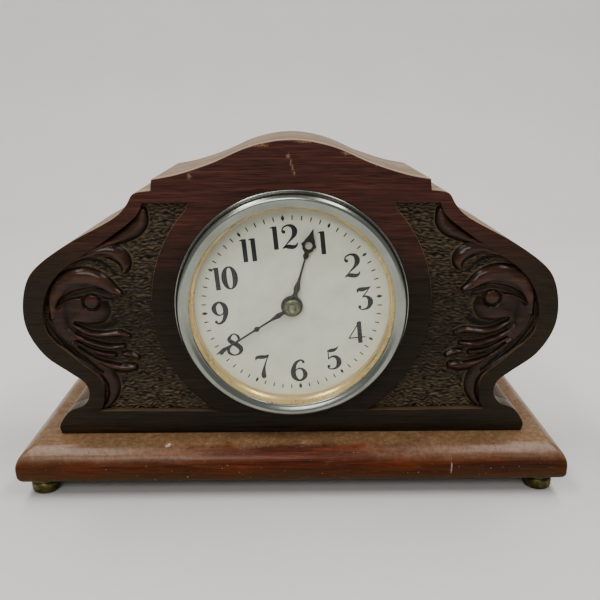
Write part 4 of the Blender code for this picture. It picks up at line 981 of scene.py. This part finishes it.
def make_panel(name, on_right):
    """A carved block behind one opening of the front frame, as a fine grid that fills the opening."""
    outline = grown(LEFT_FIELD, PANEL_MARGIN)
    xs, zs = zip(*outline)
    grid_x, grid_z = np.meshgrid(
        np.arange(min(xs), max(xs) + CELL, CELL), np.arange(min(zs), max(zs) + CELL, CELL),
    )
    keep = inside(outline, grid_x, grid_z)
    number = np.full(keep.shape, -1)
    number[keep] = np.arange(keep.sum())
    x, z = grid_x[keep], grid_z[keep]
    if on_right:
        fade_in = np.clip((z - RIGHT_UP_FROM) / RIGHT_FADE_IN, 0, 1)
        fade_out = np.clip((RIGHT_UP_TO - z) / RIGHT_FADE_OUT, 0, 1)
        height = carving(x + RIGHT_OUT, z - RIGHT_UP * fade_in * fade_out)
    else:
        height = carving(x, z)
    panel_x, panel_z = -x if on_right else x, z + BASE_TOP
    back_y = np.full(x.shape, FRONT + PANEL_DEPTH)
    points = np.concatenate([
        np.stack([panel_x, FRONT - height, panel_z], 1), np.stack([panel_x, back_y, panel_z], 1),
    ])
    panel = as_object(name, points.tolist(), panel_faces(number, len(x)))
    soften(panel, 180.0)
    relief = panel.data.attributes.new("relief", "FLOAT", "POINT")
    relief.data.foreach_set("value", np.concatenate([(height - GROUND) / -GROUND, np.zeros(len(x))]))
    place(panel, "case", "carved")


def panel_faces(number, count):
    """Front and back quads on the kept grid points, and the walls between them."""
    corners = np.stack([number[:-1, :-1], number[:-1, 1:], number[1:, 1:], number[1:, :-1]], -1)
    quads = corners[(corners >= 0).all(-1)]
    faces = quads.tolist() + (quads[:, ::-1] + count).tolist()
    edges = {}
    for quad in quads.tolist():
        for a, b in zip(quad, quad[1:] + quad[:1]):
            if edges.pop((b, a), None) is None:
                edges[(a, b)] = True
    faces += [(b, a, a + count, b + count) for a, b in edges]
    return faces


# ---------------------------------------------------------------- bezel, glass and dial

# Profiles as (radius, distance ahead of the front board)
BEZEL = [
    (54, 0.3), (54, 0.9), (53.6, 1.35), (53.25, 1.3), (53, 0.95), (52.85, 1.3), (52.9, 3.2), (52.75, 4.7),
    (52.2, 6.1), (51.35, 7.05), (50.3, 7.4), (49.3, 7.2), (48.4, 6.75), (47.6, 6.3), (46.95, 6.1),
    (46.9, 5.8), (47.6, 5.72), (47.6, -4), (48.4, -4), (48.4, 0.3),
]
SIGHT_RING = [
    (47.3, -2.5), (47.3, 4.3), (47, 4.5), (46.8, 3.9), (46.7, 2.6), (46.45, 1.7), (46, 1.05), (45.5, 0.5),
    (45.3, 0.1), (45.3, -2.5),
]
GLASS_EDGE, GLASS_CROWN, GLASS_THICKNESS = 5.6, 8.8, 1.3


def make_bezel():
    """The nickel bezel with its flange and rolled ring, the gilt sight ring and the domed glass."""
    bezel = lathe("bezel_ring", ahead(rounded(BEZEL, 0.35, 3)), DIAL, 192, closed=True)
    place(bezel, "case", "nickel", "bezel")
    ring = lathe("sight_cone", ahead(rounded(SIGHT_RING, 0.3, 3)), DIAL, 192, closed=True)
    place(ring, "case", "gilt", "sight_ring")
    radius = half_width("glass")
    dome = GLASS_CROWN - GLASS_EDGE
    outer = [(radius * share, GLASS_CROWN - dome * share ** 2) for share in (k / 14 for k in range(15))]
    inner = [(r, distance - GLASS_THICKNESS) for r, distance in reversed(outer)]
    glass = lathe("domed_glass", ahead(outer + inner), DIAL, 128)
    place(glass, "case", "glass", "glass")


def ahead(profile):
    """A profile given as distances ahead of the front board, turned into places along y."""
    return [(radius, FRONT - distance) for radius, distance in profile]


DIAL_TURN = math.radians(5.69)
# The numbers stand on a slightly flattened ring
NUMERAL_REACH = (33.6, 32.5)
NUMERAL_DROP = 0.4
NUMERAL_SIZE = 10.7
TICK_RADIUS = 40.8
DIAL_BORE = 3.2
INK_THICKNESS = 0.05

# Digits as strokes of (x, height, half width), in hundredths of a digit's height
SIX = [
    [(53, 93, 3), (40, 98.5, 3.5), (20, 84, 6), (8.5, 48, 9.5), (12, 19, 8.5),
     (31, 2, 3.5), (50, 13, 6.5), (56, 32, 8.5), (47, 54, 4.5), (30, 60, 2),
     (13, 46, 1.8)],
    [(52, 90, 5), (53, 89, 5)],
]
DIGITS = {
    "0": [[(32 + 24.5 * math.sin(a), 50 + 48.5 * math.cos(a), 2.2 + 7.8 * abs(math.sin(a)) ** 1.6)
           for a in [2 * math.pi * k / 16 for k in range(17)]]],
    "1": [[(15, 0, 8), (15, 100, 8)], [(10, 98.5, 1.6), (4, 96, 2), (-2.5, 94.5, 1.2)]],
    "2": [
        [(13, 73, 6), (13.5, 72.5, 6)],
        [(6.5, 76, 2), (12, 91, 2.2), (30, 99, 3), (47, 93, 6.5), (55, 77, 9.5),
         (53, 60, 8.5), (42, 43, 4.5), (24, 24, 2), (10, 6, 1.8)],
        [(5, 3.5, 2), (14, 8.5, 4.5), (27, 7.5, 7.5), (44, 4.5, 7), (56, 9, 4),
         (62, 20, 1.4)],
    ],
    "3": [
        [(5, 82, 2), (11, 92, 6), (28, 92, 7.8), (46, 95, 4.5), (62, 100, 1.5)],
        [(59, 99, 1.6), (44, 78, 1.6), (27, 59, 1.8)],
        [(27, 58, 2), (42, 59, 3.5), (56, 46, 8), (58, 29, 9.5), (48, 9, 5.5),
         (30, 1.5, 2.5), (14, 4, 2), (6, 14, 2)],
        [(11, 15, 5.2), (11.5, 14.5, 5.2)],
    ],
    "4": [
        [(46, 100, 1.6), (24, 64, 1.6), (1, 27, 1.6)],
        [(44, 0, 8), (44, 99, 8)],
        [(1, 26.5, 1.8), (66, 26.5, 1.8)],
    ],
    "5": [
        [(11, 88, 3), (22, 88.5, 6.5), (36, 90, 6.5), (48, 95, 4), (57, 104, 1.2)],
        [(12, 90, 1.6), (11, 52, 1.6)],
        [(11, 50, 1.6), (26, 60, 3), (44, 57, 6), (55, 42, 9), (55, 24, 9),
         (44, 7, 5), (26, 1, 2.5), (10, 5, 2), (5, 15, 2)],
        [(10, 16, 5.2), (10.5, 15.5, 5.2)],
    ],
    "6": SIX,
    "7": [
        [(5, 80, 2), (10, 90, 5), (26, 91, 7.5), (44, 90, 6), (60, 97, 2)],
        [(60, 96, 1.6), (46, 66, 2), (36, 36, 4.5), (31, 10, 8.5), (31, 0, 9.5)],
    ],
    "8": [[
        (19, 87, 4.5), (15, 74, 7), (28, 59, 8.5), (45, 46, 9), (56, 27, 8.5),
        (50, 9, 4.5), (32, 1, 2.2), (14, 8, 4), (7, 24, 5), (16, 42, 3),
        (34, 56, 1.8), (50, 70, 3), (52, 84, 4.5), (43, 96, 2.5), (31, 99, 2),
        (19, 87, 4.5),
    ]],
    "9": [[(64 - x, 100 - z, w) for x, z, w in stroke] for stroke in SIX],
}
DIGIT_WIDTH = 64
DIGIT_WIDTHS = {"1": 26, "4": 68}
DIGIT_STRETCH = {"0": 0.96, "2": 1.1, "4": 1.12, "6": 1.1, "7": 1.06, "8": 1.14, "9": 1.05}
DIGIT_GAP = 12
# Printed strokes are this much wider than drawn
PRINT_SPREAD, PRINT_EXTRA = 1.15, 0.7


def ribbon(stroke, per_span, y_front, y_back):
    """A thin flat solid that follows a stroke of (x, z, half width). All but plain bars have round ends."""
    rows = list(sweep_values(stroke, per_span))
    is_bar = len(stroke) == 2 and math.dist(stroke[0][:2], stroke[1][:2]) > stroke[0][2]
    if not is_bar:
        start_way, end_way = rows[0] - rows[1], rows[-1] - rows[-2]
        first, last = rows[0], rows[-1]
        rows = [cap(first, start_way, reach) for reach in (0.97, 0.75, 0.4)] + rows
        rows += [cap(last, end_way, reach) for reach in (0.4, 0.75, 0.97)]
    points = []
    for i, row in enumerate(rows):
        way = rows[min(i + 1, len(rows) - 1)][:2] - rows[max(i - 1, 0)][:2]
        across = np.array([-way[1], way[0]]) / np.hypot(*way) * row[2]
        for x, z in (row[:2] + across, row[:2] - across):
            points += [(x, y_front, z), (x, y_back, z)]
    faces = [(0, 2, 3, 1), tuple(len(points) - 4 + k for k in (0, 1, 3, 2))]
    for a in range(0, len(points) - 4, 4):
        b = a + 4
        faces += [
            (a, b, b + 2, a + 2), (a + 1, a + 3, b + 3, b + 1),
            (a, a + 1, b + 1, b), (a + 2, b + 2, b + 3, a + 3),
        ]
    return points, faces


def cap(row, way, reach):
    """A slice through a stroke's round end, reach half widths past its last point."""
    unit = way[:2] / np.hypot(way[0], way[1])
    return np.array([*(row[:2] + unit * row[2] * reach), row[2] * math.sqrt(1 - reach ** 2)])


def numeral_strokes(text):
    """The strokes of a number centred on the origin, in millimetres."""
    unit = NUMERAL_SIZE / 100
    stretches = [DIGIT_STRETCH.get(digit, 1.0) for digit in text]
    widths = [DIGIT_WIDTHS.get(digit, DIGIT_WIDTH) * stretch for digit, stretch in zip(text, stretches)]
    start = -(sum(widths) + DIGIT_GAP * (len(text) - 1)) / 2
    strokes = []
    for digit, width, stretch in zip(text, widths, stretches):
        for stroke in DIGITS[digit]:
            strokes.append([
                ((start + x * stretch) * unit, (z - 50) * unit, (PRINT_SPREAD * w + PRINT_EXTRA) * unit)
                for x, z, w in stroke
            ])
        start += width + DIGIT_GAP
    return strokes


def make_dial():
    """The cream dial with its printed ring of minutes and its numbers."""
    face_y, back_y = low("dial").y, high("dial").y
    radius = half_width("dial")
    profile = [(DIAL_BORE, face_y), (radius, face_y), (radius, back_y), (DIAL_BORE, back_y)]
    place(lathe("dial_disc", profile, DIAL, 128, closed=True), "case", "dial", "dial")
    place(dial_print("minute_ring", [minute_mark(minute) for minute in range(60)], 2, face_y), "case", "ink")
    for hour in range(1, 13):
        angle = math.radians(30 * hour)
        centre_x = NUMERAL_REACH[0] * math.sin(angle)
        centre_z = NUMERAL_REACH[1] * math.cos(angle) - NUMERAL_DROP
        strokes = [
            [(x + centre_x, z + centre_z, w) for x, z, w in stroke] for stroke in numeral_strokes(str(hour))
        ]
        place(dial_print(f"numeral_{hour}", strokes, 6, face_y), "case", "ink")


def minute_mark(minute):
    """A tick, or at each hour a small pointed lozenge, longer at the quarters."""
    angle = math.radians(6 * minute)
    across, rise = math.sin(angle), math.cos(angle)
    if minute % 5:
        widths = ((-1.05, 0.24), (1.05, 0.3))
    elif minute % 15:
        widths = ((-1.25, 0.08), (0.0, 0.66), (1.25, 0.08))
    else:
        widths = ((-1.4, 0.08), (-0.1, 0.78), (1.4, 0.08))
    return [((TICK_RADIUS + r) * across, (TICK_RADIUS + r) * rise, w) for r, w in widths]


def dial_print(name, strokes, per_span, face_y):
    """Printed strokes as one thin piece on the dial, turned to the dial's own tilt."""
    points, faces = [], []
    for stroke in strokes:
        new_points, new_faces = ribbon(stroke, per_span, face_y - INK_THICKNESS, face_y)
        faces += [tuple(len(points) + i for i in face) for face in new_faces]
        points += new_points
    cosine, sine = math.cos(DIAL_TURN), math.sin(DIAL_TURN)
    turned = [(DIAL.x + x * cosine - z * sine, y, DIAL.z + x * sine + z * cosine) for x, y, z in points]
    return as_object(name, turned, faces, shade_smooth=False)


# ---------------------------------------------------------------- hands

HOUR_ANGLE = math.radians(15.1)
MINUTE_ANGLE = math.radians(237.0)
SPADE_EYE = (1.75, 29.4)
# Half outlines as (half width, distance from the centre), from the boss to the tip
HOUR_HALF = [
    (2.4, 3.6), (1.15, 5.6), (1.0, 6.6), (1.45, 8.4), (1.35, 9.6), (0.75, 12.0), (0.5, 15.0), (0.42, 22.9),
    (0.95, 23.4), (1.35, 24.4), (1.2, 25.2), (0.9, 25.8), (1.5, 26.5), (2.5, 27.3), (2.55, 28.3), (3.4, 29.1),
    (3.45, 29.9), (2.6, 30.7), (2.45, 31.6), (1.9, 32.7), (1.2, 33.9), (0.6, 35.5), (0.18, 37.2),
]
MINUTE_HALF = [
    (1.6, 3.2), (0.85, 5.0), (1.05, 6.2), (1.3, 7.4), (0.9, 9.2), (0.5, 12.0), (0.42, 18.0), (0.9, 18.5),
    (1.3, 19.5), (0.9, 20.5), (0.45, 21.0), (0.45, 33.5), (0.6, 35.6), (1.05, 37.9), (0.7, 39.6),
    (0.14, 42.2),
]


def hand_outline(half):
    return half + [(-x, r) for x, r in reversed(half)]


def make_hands():
    """The pierced hour hand, the long minute hand and the collet that holds them."""
    spot = (DIAL.x, DIAL.z)
    hour_low, hour_high = low("hour_hand").y, high("hour_hand").y
    outlines = [hand_outline(HOUR_HALF), circle(SPADE_EYE[0], 24, (0, SPADE_EYE[1]))]
    blade = plate("hour_blade", outlines, hour_low, hour_high, 0.12, spot, HOUR_ANGLE)
    boss = lathe("hour_boss", rounded([
        (2.6, hour_high), (5.0, hour_high), (5.1, hour_low + 0.1), (4.9, hour_low - 0.15),
        (4.2, hour_low - 0.3), (2.6, hour_low - 0.3),
    ], 0.15, 3), DIAL, 64, closed=True)
    place(joined("hour_hand_spade", [blade, boss]), "hour_drive", "blued", "hour_hand")
    minute_low, minute_high = low("minute_hand").y, high("minute_hand").y
    outlines = [hand_outline(MINUTE_HALF)]
    blade = plate("minute_blade", outlines, minute_low, minute_high, 0.12, spot, MINUTE_ANGLE)
    section = [(1.5, minute_high), (3.3, minute_high), (3.3, minute_low), (1.5, minute_low)]
    boss = lathe("minute_boss", section, DIAL, 48, closed=True)
    place(joined("minute_hand_spire", [blade, boss]), "hand_setting", "blued", "minute_hand")
    face = minute_low - 1.3
    collet = lathe("hand_collet", rounded([
        (1.25, minute_low), (3.75, minute_low), (3.85, minute_low - 0.5), (3.45, face + 0.25), (2.9, face),
        (2.2, face), (1.9, face + 0.15), (1.25, face + 0.75), (1.25, minute_low),
    ], 0.2, 3), DIAL, 64)
    place(collet, "hand_setting", "collet")


# ---------------------------------------------------------------- carried-over CAD nodes

def dress_carried_nodes():
    """Gives every CAD node its own finish, by the record's material slots."""
    slots = {row["node"]: row["material_slot"] for row in frame["record"]["subparts"]}
    finishes = {slot: finish for finish, slot in reversed(SLOTS.items())}
    for name, node in frame["nodes"].items():
        node.data.materials.clear()
        node.data.materials.append(MATERIALS[finishes[slots[name]]])
        soften(node, 40.0)


# ---------------------------------------------------------------- stage

STAGE_SIZE, WALL, BEND = 2600.0, 900.0, 300.0
LAMP_WARM, LAMP_SOFT, SKY = (1.0, 0.97, 0.93), (1.0, 0.98, 0.96), (0.8, 0.82, 0.84, 1.0)
CAMERA_PLACE = (-0.45, -338.5, 182.5)
CAMERA_DOWN = math.radians(16.5)
CAMERA_PAN, CAMERA_ROLL = -0.0137, -0.001
LENS, SENSOR = 41.4, 36.0


def make_stage():
    """A plain floor that curves up into a wall."""
    foot = WALL - BEND
    section = [(-STAGE_SIZE, 0.0), (foot, 0.0)]
    section += [(foot + BEND * math.sin(a), BEND * (1 - math.cos(a))) for a in quarter(12)[1:]]
    section.append((WALL, STAGE_SIZE))
    points = [(x, y, z) for y, z in section for x in (-STAGE_SIZE, STAGE_SIZE)]
    faces = [(2 * i, 2 * i + 1, 2 * i + 3, 2 * i + 2) for i in range(len(section) - 1)]
    floor = as_object("studio_floor", points, faces)
    floor.data.materials.append(floor_paint())


def area_light(name, place_mm, target_mm, size_mm, power, colour):
    light = bpy.data.lights.new(name, "AREA")
    light.shape = "RECTANGLE"
    light.size, light.size_y = size_mm[0] * MM, size_mm[1] * MM
    light.energy = power
    light.color = colour
    obj = linked(name, light)
    obj.location = Vector(place_mm) * MM
    obj.rotation_euler = (Vector(target_mm) * MM - obj.location).to_track_quat("-Z", "Y").to_euler()


def make_lights():
    """Two long lamps overhead, a weak one in front and a soft sky."""
    for name, x in (("ceiling_left", -520), ("ceiling_right", 520)):
        area_light(name, (x, 0, 1120), (x, 0.1, 0), (300, 1500), 12.0, LAMP_WARM)
    area_light("front_fill", (-250, -1000, 760), (0, 0, 80), (600, 300), 4.0, LAMP_SOFT)
    world = bpy.data.worlds.new("studio")
    world.use_nodes = True
    background = world.node_tree.nodes["Background"]
    background.inputs["Color"].default_value = SKY
    background.inputs["Strength"].default_value = 0.34
    bpy.context.scene.world = world


def make_camera():
    """The camera stands before the clock, a little above it."""
    camera = bpy.data.cameras.new("camera")
    camera.lens = LENS
    camera.sensor_width = SENSOR
    obj = linked("camera", camera)
    obj.location = Vector(CAMERA_PLACE) * MM
    turn = Matrix.Rotation(CAMERA_PAN, 4, "Z") @ Matrix.Rotation(math.pi / 2 - CAMERA_DOWN, 4, "X")
    obj.rotation_euler = (turn @ Matrix.Rotation(CAMERA_ROLL, 4, "Z")).to_euler()
    bpy.context.scene.camera = obj


make_camera()
make_stage()
make_lights()
dress_carried_nodes()
make_base()
make_feet()
make_case()
make_back_fittings()
make_panel("carved_panel_left", on_right=False)
make_panel("carved_panel_right", on_right=True)
make_bezel()
make_dial()
make_hands()
